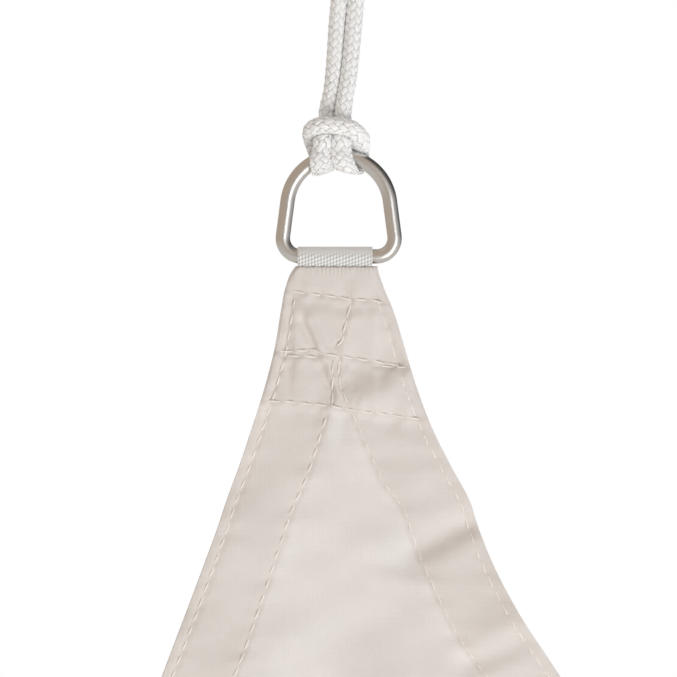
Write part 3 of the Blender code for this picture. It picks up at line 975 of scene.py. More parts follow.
def open_pockets(shape, number, first_row):
    """A slot in the top of each corner, which the webbing comes out of."""
    for corner in range(3):
        out = CORNERS[corner][2]
        lip = []
        for face in shape.faces:
            if all(vert[number] in first_row[corner] for vert in face.verts):
                x, _ = in_corner(corner, np.array(face.calc_center_median()))
                if abs(x - shift_of(corner)) < WEBBING_WIDTH / 2 + POCKET_PLAY:
                    lip.append(face)
        bmesh.ops.inset_region(shape, faces=lip, thickness=LIP_THICK, use_even_offset=True)
        floor = list({vert for face in lip for vert in face.verts})
        bmesh.ops.translate(shape, verts=floor, vec=Vector(-out * POCKET_DEPTH))
        middle = sum(vert.co.y for vert in floor) / len(floor)
        for vert in floor:
            vert.co.y = middle + math.copysign(POCKET_HALF, vert.co.y - middle)


def sail_cloth(finish):
    """One cloth with its hems and corner patches: two skins over one net of rows."""
    sectors = sector_rows()
    columns = 2 * (HEM_COLUMNS + INNER_COLUMNS + 1)
    shape = bmesh.new()
    for corner, rows in enumerate(sectors):
        bmesh.ops.create_grid(
            shape,
            x_segments=columns,
            y_segments=len(rows) - 1,
            size=1.0,
            matrix=Matrix.Translation((0.0, 0.0, corner)),
        )
    swing, front, back, layers = lay_net(shape, sectors)
    number = shape.verts.layers.int["number"]
    bmesh.ops.remove_doubles(shape, verts=shape.verts, dist=SAME_POINT)
    pulled = bmesh.ops.extrude_face_region(shape, geom=shape.faces[:])
    behind = set(of_kind(pulled["geom"], bmesh.types.BMVert))
    for vert in shape.verts:
        fact = vert[number]
        vert.co.y = swing[fact] + (back[fact] if vert in behind else -front[fact])
    width = columns + 1
    starts = np.cumsum([0] + [len(rows) * width for rows in sectors])
    open_pockets(shape, number, [range(start, start + width) for start in starts[:3]])
    mesh = mesh_of("sail_cloth", shape)
    kept = np.zeros(len(mesh.vertices), np.int32)
    mesh.attributes["number"].data.foreach_get("value", kept)
    write_values(mesh, "layers", layers[kept])
    mesh.attributes.remove(mesh.attributes["number"])
    return add_piece("sail", mesh, finish, ["sail_cloth"])


# ---- rods that are bent to their places: stitches and the rope's bundles ----


def straight_rods(name, count, sides, cuts):
    """Closed rods side by side, of radius 1 and length 2. Returns their mesh, and each point's
    rod, angle and share along."""
    apart = 4.0
    shape = bmesh.new()
    for index in range(count):
        bmesh.ops.create_cone(
            shape,
            cap_ends=True,
            segments=sides,
            radius1=1.0,
            radius2=1.0,
            depth=2.0,
            matrix=Matrix.Translation((apart * index, 0.0, 0.0)),
        )
    lengthwise = [e for e in shape.edges if abs(e.verts[0].co.z - e.verts[1].co.z) > 1.0]
    bmesh.ops.subdivide_edges(shape, edges=lengthwise, cuts=cuts)
    mesh = mesh_of(name, shape)
    for face in mesh.polygons:
        face.use_smooth = len(face.vertices) == 4
    x, y, z = read_places(mesh).T
    pairs = np.zeros(2 * len(mesh.edges), np.int32)
    mesh.edges.foreach_get("vertices", pairs)
    rims = np.isclose(np.abs(z), 1.0)[pairs.reshape(-1, 2)].all(axis=1)
    mesh.edges.foreach_set("use_edge_sharp", rims)
    rod = np.rint(x / apart).astype(int)
    return mesh, rod, np.arctan2(y, x - apart * rod), (z + 1.0) / 2


# ---- stitching ----


def resample(run, step):
    """Evenly spaced points on a run of points."""
    along = lengths_along(run)
    wanted = np.arange(0.0, along[-1], step)
    return np.stack([np.interp(wanted, along, run[:, k]) for k in range(3)], axis=1)


def seam_beside_edge(corner, rows, side, distance, start):
    """A seam beside the left (0) or right (1) edge of a corner's sector, from a depth on.
    The distance is a number, or None for the hem's own seam."""
    edge, middle = rows[:, 2 * side], rows[:, 1]
    if distance is None:
        distance = hem_seam(corner, in_corner(corner, edge)[1], side)
    along = unit(np.gradient(edge, axis=0))
    inward = unit(middle - edge)
    square = sizes(np.cross(along, inward))
    travelled = np.cumsum(sizes(np.gradient(edge, axis=0)))
    short, long = WANDER_LENGTHS
    wander = SEAM_WANDER * (np.sin(travelled / short) + np.sin(travelled / long + 1.0))
    seam = edge + inward * ((distance + wander) / square)[:, None]
    _, depth = in_corner(corner, seam)
    return seam[depth > start]


def seam_runs():
    """Every row of stitches: a run of points in the sail's plane, and how deep it is sunk."""
    sectors = sector_rows()
    runs = []
    for corner in range(3):
        after = (corner + 1) % 3
        for distance, start, sunk in (
            (EDGE_SEAM, EDGE_SEAM_START, EDGE_SEAM_SUNK),
            (None, HEM_SEAM_START, HEM_SEAM_SUNK),
        ):
            going = seam_beside_edge(corner, sectors[corner], 0, distance, start)
            coming = seam_beside_edge(after, sectors[after], 1, distance, start)
            runs.append((np.concatenate([going, coming[::-1]]), sunk))
        mirror = -1.0 if corner == 1 else 1.0
        for seam in PATCH_SEAMS:
            x, depth = np.array(seam).T * MM
            sunk = ACROSS_SEAM_SUNK if np.ptp(x) > np.ptp(depth) else 0.0
            runs.append((at_corner(corner, mirror * x, depth), sunk))
    return runs


def thread_ends(sail, facing):
    """For each stitch on one face: its start, middle and end on the cloth, and how deep it is
    sunk into it."""
    surface = BVHTree.FromPolygons(
        [vert.co for vert in sail.data.vertices], [face.vertices for face in sail.data.polygons]
    )
    pitch = round(STITCH_PITCH / FINE_STEP)
    length = round((STITCH_PITCH - STITCH_GAP) / FINE_STEP)
    first = round(STITCH_PITCH * (FRONT_START if facing < 0 else BACK_START) / FINE_STEP)
    inwards = Vector((0.0, -facing, 0.0))
    found, depths = [], []
    for run, sunk in seam_runs():
        fine = resample(run, FINE_STEP)
        for start in range(first, len(fine) - length // 2, pitch):
            ends = []
            last = min(start + length, len(fine) - 1)
            for index in (start, (start + last) // 2, last):
                x, _, z = fine[index]
                ends.append(surface.ray_cast(Vector((x, RAY_START * facing, z)), inwards)[0])
            if None not in ends:
                found.append(ends)
                depths.append(sunk)
    return np.array(found), np.array(depths)


def stitches(name, sail, facing, finish):
    """The threads that show on one face of the sail, -1 for the front and 1 for the back."""
    ends, depths = thread_ends(sail, facing)
    mesh, rod, angle, share = straight_rods(name, len(ends), THREAD_SIDES, THREAD_CUTS)
    start, middle, end = ends[rod, 0], ends[rod, 1], ends[rod, 2]
    t = share[:, None]
    centre = start * (1 - t) * (1 - 2 * t) + 4 * middle * t * (1 - t) + end * t * (2 * t - 1)
    swell = np.sqrt(np.sin(np.pi * np.clip(share, THREAD_TIP, 1.0 - THREAD_TIP)))
    outward = np.array((0.0, facing, 0.0))
    across = unit(np.cross(end - start, outward))
    low, high = THREAD_LIFT
    lift = THREAD_RADIUS * (low + (high - low) * swell) - depths[rod]
    radius = THREAD_RADIUS * (THREAD_END + (1.0 - THREAD_END) * swell)
    ring = np.cos(angle)[:, None] * across + np.sin(angle)[:, None] * outward
    centre += facing * STITCH_SLANT * (1.0 - 2.0 * t) * across
    write_places(mesh, centre + lift[:, None] * outward + radius[:, None] * ring)
    write_values(mesh, "share", share)
    return add_piece(name, turned_out(mesh), finish)


# ---- webbing ----


def loop_outline():
    """The strap's middle line, drawn sideways: back and depth, and how far it is on the loop."""
    radius = WIRE_RADIUS + WEBBING_GAP + WEBBING_THICK / 2
    half = WEBBING_THICK / 2
    turn = np.linspace(math.pi - LOOP_START, LOOP_START, LOOP_POINTS)
    loop = np.stack([radius * np.cos(turn), BAR_DEPTH - radius * np.sin(turn)], axis=1)
    depths = (WEBBING_END, WEBBING_NECK + NECK_LENGTH, WEBBING_NECK)
    up = np.array([(-half, depth) for depth in depths])
    down = up[::-1] * (-1.0, 1.0)
    return up, loop, down


def webbing_rows():
    """Rows along the strap: middle line, the way out of it, and the length travelled."""
    up, loop, down = loop_outline()
    line = np.concatenate([up, loop, down])
    lengths = lengths_along(line)
    first, last = lengths[1], lengths[-2]
    travelled = np.concatenate([
        np.linspace(0.0, first, POCKET_ROWS, endpoint=False),
        np.linspace(first, last, LOOP_ROWS, endpoint=False),
        np.linspace(last, lengths[-1], POCKET_ROWS),
    ])
    middle = np.stack([np.interp(travelled, lengths, line[:, k]) for k in range(2)], axis=1)
    way = unit(np.gradient(middle, travelled, axis=0))
    out = np.stack([way[:, 1], -way[:, 0]], axis=1)
    return middle, out, travelled


def woven_relief(x, travelled):
    """Slanting beads of yarn in columns across the strap."""
    column = x / BEAD_PITCH
    off = column - np.rint(column)
    across = np.cos(np.pi * off) ** BEAD_FULLNESS[0]
    phase = travelled / BEAD_LENGTH + np.rint(column) * BEAD_SLANT - BEAD_LEAN * off
    bead = np.abs(np.cos(np.pi * phase)) ** BEAD_FULLNESS[1]
    return BEAD_RELIEF * across * (BEAD_FLOOR + (1.0 - BEAD_FLOOR) * bead)


def webbing_strap(corner, finish):
    """The strap round the ring's bar, with both its ends in the corner's pocket."""
    middle, out, travelled = webbing_rows()
    shape = bmesh.new()
    bmesh.ops.create_grid(shape, x_segments=WEBBING_COLUMNS, y_segments=len(middle) - 1, size=1.0)
    pulled = bmesh.ops.extrude_face_region(shape, geom=shape.faces[:])
    inner = of_kind(pulled["geom"], bmesh.types.BMVert)
    bmesh.ops.translate(shape, verts=inner, vec=(0.0, 0.0, 1.0))
    mesh = mesh_of("webbing", shape)
    u, v, skin = read_places(mesh).T
    row = np.rint((v + 1) / 2 * (len(middle) - 1)).astype(int)
    x = u * WEBBING_WIDTH / 2
    side = np.where(skin < 0.5, 1.0, -1.0)
    worn = WORN_SHARE * ease(-out[row, 1], *WORN_BEND)
    beads = (woven_relief(x, travelled[row]) - BEAD_RELIEF / 2) * (1.0 - worn)
    relief = np.where(skin < 0.5, beads, 0.0)
    in_rim = np.clip((np.abs(u) - 1.0 + STRAP_RIM) / STRAP_RIM, 0.0, 1.0)
    rim = np.sqrt(1.0 - RIM_THINNING * in_rim)
    away = side * WEBBING_THICK / 2 * rim + relief * rim
    drawn = middle[row] + out[row] * away[:, None]
    places = at_corner(corner, x + shift_of(corner), drawn[:, 1], -drawn[:, 0])
    places[:, 1] += cloth_swing(corner, places) * ease(drawn[:, 1], LIP_END, EDGE_SEAM_START)
    write_places(mesh, places)
    write_values(mesh, "weave", np.stack([x, travelled[row], relief], axis=1))
    # Painted light: how far each point lies on the top of the bend, where the strap is coloured
    # paler.
    write_values(mesh, "pale", ease(-out[row, 1], *LIT_TOP_BEND))
    name = f"webbing_loop_{SIDES[corner]}"
    return add_piece(name, turned_out(mesh), finish, [f"webbing_{SIDES[corner]}"])


# ---- D-rings ----


def pull_wire(shape, end, way):
    """A straight length of wire from its open end."""
    pulled = bmesh.ops.extrude_edge_only(shape, edges=end)
    bmesh.ops.translate(shape, verts=of_kind(pulled["geom"], bmesh.types.BMVert), vec=way)
    return of_kind(pulled["geom"], bmesh.types.BMEdge)


def bend_wire(shape, end, centre, angle, steps):
    verts = list({vert for edge in end for vert in edge.verts})
    spun = bmesh.ops.spin(
        shape,
        geom=verts + end,
        cent=centre,
        axis=(0.0, -1.0, 0.0),
        angle=angle,
        steps=steps,
    )
    return of_kind(spun["geom_last"], bmesh.types.BMEdge)


def ring_sizes():
    """The right leg's foot and top, and the middle of its bend, as x and z."""
    flare = np.array((math.cos(LEG_FLARE), math.sin(LEG_FLARE)))
    top = (flare - (0.0, 1.0)) * ARCH_RADIUS
    bend_z = BEND_RADIUS - BAR_DEPTH
    reach = flare[1] * (top[1] - bend_z) - BEND_RADIUS
    bend = np.array((top[0] + reach / flare[0], bend_z))
    foot = bend + BEND_RADIUS * flare
    return foot, top, bend


def ring_line():
    """Points along the wire's middle, from the middle of the bar round to the right."""
    foot, top, bend = ring_sizes()
    turn = np.linspace(-math.pi / 2, LEG_FLARE, LINE_STEPS // 8)
    bow = np.linspace(LEG_FLARE, math.pi / 2, LINE_STEPS // 4)
    corner = bend + BEND_RADIUS * np.stack([np.cos(turn), np.sin(turn)], axis=1)
    arch = ARCH_RADIUS * np.stack([np.cos(bow), np.sin(bow) - 1.0], axis=1)
    bar = np.linspace((0.0, -BAR_DEPTH), corner[0], LINE_STEPS // 8)
    leg = np.linspace(foot, top, LINE_STEPS // 8)
    right = np.concatenate([bar[:-1], corner[:-1], leg[:-1], arch])
    left = right[-2:0:-1] * (-1.0, 1.0)
    return np.concatenate([right, left])


def steel_ring(corner, finish):
    """Round wire, pulled and bent from the middle of the bar all the way round."""
    foot, top, bend = ring_sizes()
    shape = bmesh.new()
    upright = Matrix.Translation((0.0, 0.0, -BAR_DEPTH)) @ Matrix.Rotation(math.pi / 2, 4, "Y")
    made = bmesh.ops.create_circle(
        shape, cap_ends=False, segments=WIRE_SIDES, radius=WIRE_RADIUS, matrix=upright
    )
    end = list({edge for vert in made["verts"] for edge in vert.link_edges})
    quarter = math.pi / 2 + LEG_FLARE
    leg = Vector((top[0] - foot[0], 0.0, top[1] - foot[1]))
    end = pull_wire(shape, end, (bend[0], 0.0, 0.0))
    end = bend_wire(shape, end, (bend[0], 0.0, bend[1]), quarter, BEND_STEPS)
    end = pull_wire(shape, end, leg)
    end = bend_wire(shape, end, (0.0, 0.0, -ARCH_RADIUS), math.pi - 2 * LEG_FLARE, ARCH_STEPS)
    end = pull_wire(shape, end, (leg.x, 0.0, -leg.z))
    end = bend_wire(shape, end, (-bend[0], 0.0, bend[1]), quarter, BEND_STEPS)
    pull_wire(shape, end, (bend[0], 0.0, 0.0))
    bmesh.ops.remove_doubles(shape, verts=shape.verts, dist=SAME_POINT)
    mesh = mesh_of("ring", shape)
    places = read_places(mesh)
    line = ring_line()
    flat = places[:, [0, 2]]
    nearest = nearest_point(line, flat)
    travelled = lengths_along(line)[nearest]
    outward = np.sum((flat - line[nearest]) * unit(line[nearest] + (0.0, ARCH_RADIUS)), axis=1)
    write_values(mesh, "wire", np.stack([outward, places[:, 1], travelled], axis=1))
    write_places(mesh, at_corner(corner, places[:, 0], -places[:, 2], -places[:, 1]))
    return add_piece(f"d_ring_{SIDES[corner]}", mesh, finish, [f"ring_{SIDES[corner]}"])


# ---- rope ----


def smooth_route(points, step):
    """Evenly spaced points on a smooth curve through the route's own points."""
    route = np.array(points)
    ends = [2 * route[0] - route[1]], [2 * route[-1] - route[-2]]
    padded = np.concatenate([ends[0], route, ends[1]])
    share = np.linspace(0.0, 1.0, ROUTE_CUTS, endpoint=False)[:, None]
    pieces = []
    for a, b, c, d in zip(padded, padded[1:], padded[2:], padded[3:]):
        bend = (2 * a - 5 * b + 4 * c - d) * share**2
        turn = (-a + 3 * b - 3 * c + d) * share**3
        pieces.append(b + ((c - a) * share + bend + turn) / 2)
    dense = np.concatenate([*pieces, route[-1:]])
    return resample(dense, step)


def travelling_frame(route):
    """Directions along the route, and two square to it that turn as little as they can."""
    ways = unit(np.gradient(route, axis=0))
    side = np.cross(ways[0], (0.0, 1.0, 0.0))
    sides = []
    for way in ways:
        side = unit(side - way * (side @ way))
        sides.append(side)
    sides = np.array(sides)
    return sides, np.cross(ways, sides)


def float_wave(position):
    """1 where the bundles that wind one way lie on top, and -1 where they pass under."""
    height = wave(position - 0.5, FLOAT_PERIOD)
    return np.tanh(FLOAT_FLATNESS * height) / math.tanh(FLOAT_FLATNESS)


def nearest_on_wire(places):
    """The top ring's wire as a run of points, and the number of the one nearest each place."""
    line = ring_line()
    wire = at_corner(0, line[:, 0], -line[:, 1])
    return wire, nearest_point(wire, places)


def spread_on_wire(route):
    """Along the route: how much wider the rope lies on the top ring's wire, and which way."""
    wire, nearest = nearest_on_wire(route)
    tangent = unit(np.roll(wire, -1, axis=0) - np.roll(wire, 1, axis=0))[nearest]
    distance = sizes(route - wire[nearest])
    spread = WIRE_SPREAD * (1.0 - ease(distance, *SPREAD_REACH))
    return spread[:, None] * tangent, tangent


def braid(name, route, start, end):
    """The braided cover of a rope, and its core, along a route between two lengths."""
    sides, ups = travelling_frame(route)
    spread, tangent = spread_on_wire(route)
    lengths = lengths_along(route)

    def at(travelled, values):
        return np.stack([np.interp(travelled, lengths, values[:, k]) for k in range(3)], axis=1)

    count = 2 * BUNDLES_EACH_WAY
    cuts = round((end - start) / BUNDLE_STEP)
    mesh, rod, angle, share = straight_rods(name, count + 1, BUNDLE_SIDES, cuts)
    core = rod == count
    hand = np.where(rod < BUNDLES_EACH_WAY, 1.0, -1.0)
    travelled = start + share * (end - start)
    position = 2 * (rod % BUNDLES_EACH_WAY) + hand * count * travelled / BRAID_LAY
    ride = BRAID_MIDDLE + BRAID_SWING * hand * float_wave(position)
    slant = math.atan(2 * math.pi * BRAID_MIDDLE / BRAID_LAY)
    wide = BUNDLE_WIDTH / 2 * np.cos(angle)
    thick = BUNDLE_THICK / 2 * np.sin(angle)
    between_yarns = bell(np.cos(angle), GROOVE_WIDTH) * (thick > 0)
    thick *= 1.0 - YARN_GROOVE * between_yarns
    turn = 2 * math.pi * position / count + wide * math.cos(slant) / ride
    way = travelled - hand * wide * math.sin(slant)
    turn = np.where(core, angle, turn)
    way = np.where(core, travelled, way)
    radius = np.where(core, CORE_RADIUS, ride + thick)
    square = np.cos(turn)[:, None] * at(way, sides) + np.sin(turn)[:, None] * at(way, ups)
    offset = radius[:, None] * square
    offset += at(way, spread) * np.sum(offset * at(way, tangent), axis=1, keepdims=True)
    write_places(mesh, at(way, route) + offset)
    write_values(mesh, "lie", np.stack([wide, thick, travelled], axis=1))
    write_values(mesh, "bundle", rod.astype(float))
    return mesh


def press_on_wire(mesh):
    """Flattens the rope where it bears on the top ring's wire."""
    places = read_places(mesh)
    wire, nearest = nearest_on_wire(places)
    away = places - wire[nearest]
    distance = sizes(away)
    table = np.array(WIRE_PRESS) * MM
    pressed = np.interp(distance, table[:, 0], table[:, 1])
    pressed += np.maximum(distance - table[-1, 0], 0.0)
    arch = CORNERS[0][0][2]
    pressed += (distance - pressed) * ease(places[:, 2] - arch, *PRESS_END)
    places = wire[nearest] + away * (pressed / distance)[:, None]
    drop = np.minimum(places[:, 2] - arch - LEVEL_HEIGHT, 0.0)
    places[:, 2] -= (1.0 - LEVEL_SHARE) * drop
    write_places(mesh, places)


def placed(points):
    """Points of the rope's tables, which give x, up and towards the viewer in millimetres."""
    x, up, near = np.array(points).T * MM
    return at_corner(0, x, -up, near)


def leaning(points):
    """Points given in the end knot's own leaning frame."""
    cosine, sine = math.cos(KNOT_LEAN), math.sin(KNOT_LEAN)
    turned = points @ np.array(((cosine, 0.0, -sine), (0.0, 1.0, 0.0), (sine, 0.0, cosine)))
    return turned + KNOT_FOOT + CORNERS[0][0]


def knot_route():
    """The right strand's way round the left one, from its end to its tail's."""
    turns = np.linspace(0.0, 2 * math.pi * KNOT_TURNS, KNOT_POINTS)
    rise = FIRST_TURN + TURN_RISE * turns / (2 * math.pi)
    winding = np.stack([TURN_RADIUS * np.cos(turns), TURN_RADIUS * np.sin(turns), rise], axis=1)
    last = winding[-1]
    bend = last + TAIL_BEND * (unit(last - winding[-2]) + (0.0, 0.0, 1.0))
    end = np.array((*bend[:2] * TAIL_FLARE, last[2] + SIDE_TAIL))
    return leaning(np.concatenate([winding, [bend, end]]))


def rope_route():
    """The whole rope's middle line, from the left strand's tail to the right one's."""
    tail = np.zeros((TAIL_POINTS, 3))
    tail[:, 2] = np.linspace(*STRAIGHT_TAIL, TAIL_POINTS)
    run = np.concatenate([
        leaning(tail)[::-1],
        placed(LEFT_STRAND[::-1]),
        placed(HITCH),
        placed(RIGHT_STRAND),
        knot_route(),
    ])
    return smooth_route(run, ROUTE_STEP)


def end_knot(route, left_top, right_top, finish):
    """The left strand's tail and the right one's turns round it, as one piece."""
    mesh = braid("end_knot", route, 0.0, left_top)
    joined = bmesh.new()
    joined.from_mesh(mesh)
    joined.from_mesh(braid("end_knot_wrap", route, right_top, lengths_along(route)[-1]))
    joined.to_mesh(mesh)
    joined.free()
    return add_piece("end_knot", turned_out(mesh), finish, ["rope_end_knot"])


def rope(finish, melted):
    """The doubled rope: two strands, the hitch on the ring and the knot over the hook."""
    route = rope_route()
    lengths = lengths_along(route)

    def length_at(point):
        return lengths[nearest_point(route, placed([point]))[0]]

    left_top, left_foot = length_at(LEFT_STRAND[-1]), length_at(LEFT_STRAND[0])
    right_foot, right_top = length_at(RIGHT_STRAND[0]), length_at(RIGHT_STRAND[-1])
    hitch_mesh = braid("hitch", route, left_foot, right_foot)
    press_on_wire(hitch_mesh)
    hitch = add_piece("hitch", turned_out(hitch_mesh), finish, ["rope_hitch"])
    knot = end_knot(route, left_top, right_top, finish)
    tips = melted_ends(route, melted)
    for side, start, end in (
        ("strand_left", left_top, left_foot),
        ("strand_right", right_foot, right_top),
    ):
        mesh = turned_out(braid(side, route, start, end))
        piece = add_piece(side, mesh, finish, [f"rope_{side}"])


def melted_ends(route, finish):
    """The two tails' ends, melted into hard beads so that the braid can't fray."""
    shape = bmesh.new()
    for tip, inner in ((route[0], route[4]), (route[-1], route[-5])):
        way = Vector(tip - inner).normalized()
        turned = way.to_track_quat("Z", "Y").to_matrix().to_4x4()
        squat = Matrix.Diagonal((1.0, 1.0, MELTED_SQUASH, 1.0))
        bmesh.ops.create_uvsphere(
            shape,
            u_segments=MELTED_SIDES,
            v_segments=MELTED_SIDES // 2,
            radius=MELTED_RADIUS,
            matrix=Matrix.Translation(tip) @ turned @ squat,
        )
    return add_piece("melted_ends", mesh_of("melted_ends", shape), finish)


# ---- finishes ----


def woven(tree, across):
    """A plain weave as a height, from a flat pair of ways across the cloth."""
    inputs = {
        "Vector": across,
        "Scale": 2 * math.pi / (WAVE_BANDS * WEAVE_PITCH),
        "Distortion": WEAVE_UNEVEN,
        "Detail Scale": 0.5,
    }
    bands = [
        add_node(tree, "TexWave", inputs, wave_type="BANDS", bands_direction=way).outputs["Fac"]
        for way in ("X", "Y")
    ]
    return maths(tree, "ADD", *bands)


def cloth_finish():
    """Woven canvas, a little cloudy, and with painted shade where it lies in layers, for the light
    that shines through a single layer but not through several.
    """
    made, tree, shader = new_finish(
        "sail_canvas", Roughness=0.86, Sheen_Weight=0.15, Sheen_Roughness=0.5
    )
    place = object_place(tree)
    upright = add_node(tree, "Mapping", {"Vector": place, "Rotation": (math.pi / 2, 0.0, 0.0)})
    weave = woven(tree, upright.outputs["Vector"])
    colour = between(tree, mesh_value(tree, "layers"), CLOTH_SINGLE, CLOTH_LAYERED_SHADED)
    cloudy = noise(tree, place, scale=38.0, detail=5.0, roughness=0.6)
    shade = remap(tree, cloudy, (0.3, 0.7), (0.968, 1.025))
    thread = remap(tree, weave, (0.0, 2.0), (0.97, 1.02))
    tinted = shaded(tree, colour, maths(tree, "MULTIPLY", shade, thread))
    tree.links.new(tinted, shader.inputs["Base Color"])
    soft = noise(tree, place, scale=150.0, detail=3.0, roughness=0.55)
    under = bump(tree, shader, soft, 0.35 * MM, strength=0.5)
    bump(tree, shader, weave, 0.05 * MM, strength=0.6, under=under)
    return made


def thread_finish():
    """Sewing thread, with painted shade where its ends go down into the cloth, for the shade in
    the needle holes.
    """
    made, tree, shader = new_finish("sewing_thread", Roughness=0.6, Sheen_Weight=0.2)
    # Painted shade: the thread's colour darkens towards both ends, where it goes down into the
    # needle holes.
    off_middle = maths(tree, "SUBTRACT", mesh_value(tree, "share"), 0.5)
    sunk = remap(tree, maths(tree, "ABSOLUTE", off_middle), (0.42, 0.48))
    colour = between(tree, sunk, THREAD_MIDDLE, THREAD_SHADED_ENDS)
    tree.links.new(colour, shader.inputs["Base Color"])
    twist = noise(tree, object_place(tree), scale=2600.0, detail=1.0)
    bump(tree, shader, twist, 0.06 * MM, strength=0.7)
    return made


def webbing_finish():
    """Woven strap, with painted shade between its beads and painted light that makes it pale over
    the top of the bar.
    """
    made, tree, shader = new_finish("woven_webbing", Roughness=0.5, Sheen_Weight=0.1)
    lie = mesh_value(tree, "weave", "Vector")
    relief = add_node(tree, "SeparateXYZ", {0: lie}).outputs["Z"]
    # Painted shade: the strap is coloured darker where its surface lies low between the beads.
    height = remap(tree, relief, (-BEAD_RELIEF / 2, BEAD_RELIEF / 2))
    colour = between(tree, height, WEBBING_SHADED_LOW, WEBBING_HIGH)
    # Painted light: the strap is coloured paler over the top of the bar, where light from above
    # falls.
    colour = between(tree, mesh_value(tree, "pale"), colour, WEBBING_LIT_TOP)
    tree.links.new(colour, shader.inputs["Base Color"])
    yarn = noise(tree, stretched(tree, lie, (1.0, 0.3, 1.0)), scale=5200.0, detail=2.0)
    bump(tree, shader, yarn, 0.05 * MM, strength=0.8)
    return made


def steel_finish():
    """Drawn wire, with fine lines along it."""
    made, tree, shader = new_finish("brushed_steel", Metallic=1.0, Roughness=0.3)
    lie = mesh_value(tree, "wire", "Vector")
    drawn = stretched(tree, lie, (1.0, 1.0, 0.03))
    lines = noise(tree, drawn, scale=3800.0, detail=3.0, roughness=0.6)
    colour = between(tree, lines, STEEL_DARK, STEEL_LIGHT)
    tree.links.new(colour, shader.inputs["Base Color"])
    worn = noise(tree, lie, scale=260.0, detail=4.0)
    rough = remap(tree, worn, (0.3, 0.7), (0.31, 0.37))
    tree.links.new(rough, shader.inputs["Roughness"])
    bump(tree, shader, lines, 0.01 * MM, strength=0.4)
    return made


def rope_finish():
    """Glossy filament, with fine lines along each bundle and shade between the bundles."""
    made, tree, shader = new_finish(
        "rope_filament",
        Roughness=0.38,
        Specular_IOR_Level=0.8,
        Sheen_Weight=0.15,
        Sheen_Roughness=0.4,
        Subsurface_Weight=0.7,
        Subsurface_Radius=(1.0, 1.0, 1.0),
        Subsurface_Scale=1.0 * MM,
    )
    lie = mesh_value(tree, "lie", "Vector")
    inputs = {
        "Vector": stretched(tree, lie, (1.0, 0.3, 0.04)),
        "W": mesh_value(tree, "bundle"),
        "Scale": 4200.0,
        "Detail": 2.0,
        "Roughness": 0.6,
    }
    lines = add_node(tree, "TexNoise", inputs, noise_dimensions="4D").outputs["Fac"]
    colour = between(tree, lines, ROPE_DARK, ROPE_LIGHT)
    height = add_node(tree, "SeparateXYZ", {0: lie}).outputs["Y"]
    low = remap(tree, height, (-0.25 * MM, 0.4 * MM), (0.80, 1.0))
    tree.links.new(shaded(tree, colour, low), shader.inputs["Base Color"])
    bump(tree, shader, lines, 0.25 * MM)
    return made


def melted_finish():
    """Filament melted to a hard, cloudy, yellowish bead."""
    made, tree, shader = new_finish("melted_filament", Roughness=0.3)
    cloudy = noise(tree, object_place(tree), scale=900.0, detail=3.0)
    colour = between(tree, cloudy, MELTED_DARK, MELTED_LIGHT)
    tree.links.new(colour, shader.inputs["Base Color"])
    bump(tree, shader, cloudy, 0.3 * MM, strength=0.6)
    return made


# ---- floor, light and camera ----


def studio_world():
    """White where the camera looks past the sail, a tinted haze that lights what is matt, and a
    beige room that shows in the steel and the rope."""
    world = bpy.data.worlds.new("studio")
    bpy.context.scene.world = world
    world.use_nodes = True
    tree = world.node_tree
    tree.nodes.clear()
    way = add_node(tree, "TexCoord").outputs["Generated"]

    def all_round(colour, patches):
        for axis, low, high, patch in patches:
            near = add_node(tree, "VectorMath", {0: way, 1: axis}, operation="DOT_PRODUCT")
            share = remap(tree, near.outputs["Value"], (low, high))
            colour = between(tree, share, colour, patch)
        return add_node(tree, "Background", {"Color": colour}).outputs[0]

    haze = all_round(HAZE_START, HAZE_PATCHES)
    room = all_round(ROOM_START, ROOM_PATCHES)
    paper = add_node(tree, "Background", {"Color": PAPER_COLOUR}).outputs[0]
    ray = add_node(tree, "LightPath").outputs
    unseen = add_node(tree, "MixShader", {0: ray["Is Glossy Ray"], 1: haze, 2: room}).outputs[0]
    both = add_node(tree, "MixShader", {0: ray["Is Camera Ray"], 1: unseen, 2: paper}).outputs[0]
    output = tree.nodes.new("ShaderNodeOutputWorld")
    tree.links.new(both, output.inputs["Surface"])


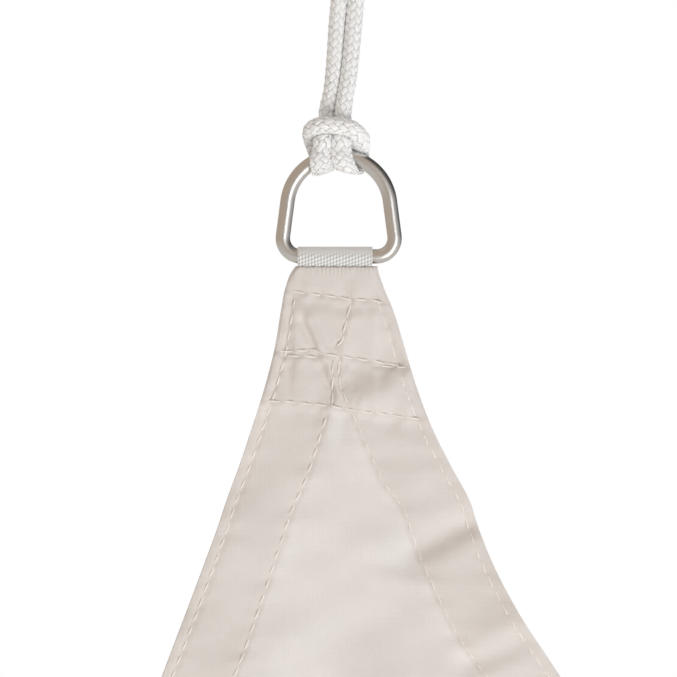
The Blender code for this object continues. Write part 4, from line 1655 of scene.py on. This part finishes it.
def soft_light(name, azimuth, elevation, distance, size, power, colour, lights):
    """A flat soft light that faces the middle of the picture. It lights what is matt, or shows
    as a gleam on what is glossy."""
    data = bpy.data.lights.new(name, "AREA")
    data.shape = "RECTANGLE"
    data.size, data.size_y = size
    data.energy = power
    data.color = colour
    light = new_object(name, data)
    around, up = math.radians(azimuth), math.radians(elevation)
    way = Vector((math.sin(around) * math.cos(up), -math.cos(around) * math.cos(up), math.sin(up)))
    light.location = Vector(PICTURE_MIDDLE) + way * distance
    light.rotation_euler = way.to_track_quat("Z", "Y").to_euler()
    light.visible_glossy = lights == "gloss"
    light.visible_diffuse = lights == "matt"


def studio():
    """The world, the lights and the floor."""
    studio_world()
    for light in LIGHTS:
        soft_light(*light)
    shape = bmesh.new()
    bmesh.ops.create_grid(shape, x_segments=1, y_segments=1, size=FLOOR_HALF)
    bmesh.ops.translate(shape, verts=shape.verts, vec=(0.0, 0.0, FLOOR_LEVEL))
    floor = new_object("floor", mesh_of("floor", shape))
    finish, _, _ = new_finish("pale_floor", Base_Color=FLOOR_COLOUR, Roughness=0.9)
    floor.data.materials.append(finish)
    # As in the photograph, nothing but white is seen behind the sail: the floor only throws
    # light up.
    floor.visible_camera = False


def camera():
    data = bpy.data.cameras.new("camera")
    data.sensor_width = SENSOR
    data.lens = SENSOR * CAMERA_BACK / PICTURE_HEIGHT
    made = new_object("camera", data)
    made.location = Vector(PICTURE_MIDDLE) - Vector((0.0, CAMERA_BACK, 0.0))
    made.rotation_euler = (math.pi / 2, 0.0, 0.0)
    bpy.context.scene.camera = made


# ---- the whole sail ----


def main():
    camera()
    rope(rope_finish(), melted_finish())
    canvas, thread = cloth_finish(), thread_finish()
    sail = sail_cloth(canvas)
    threads = [
        stitches("stitching_front", sail, -1, thread),
        stitches("stitching_back", sail, 1, thread),
    ]
    webbing, steel = webbing_finish(), steel_finish()
    for corner in range(3):
        webbing_strap(corner, webbing)
        steel_ring(corner, steel)
    studio()
    bpy.context.scene.view_settings.view_transform = "Standard"


main()
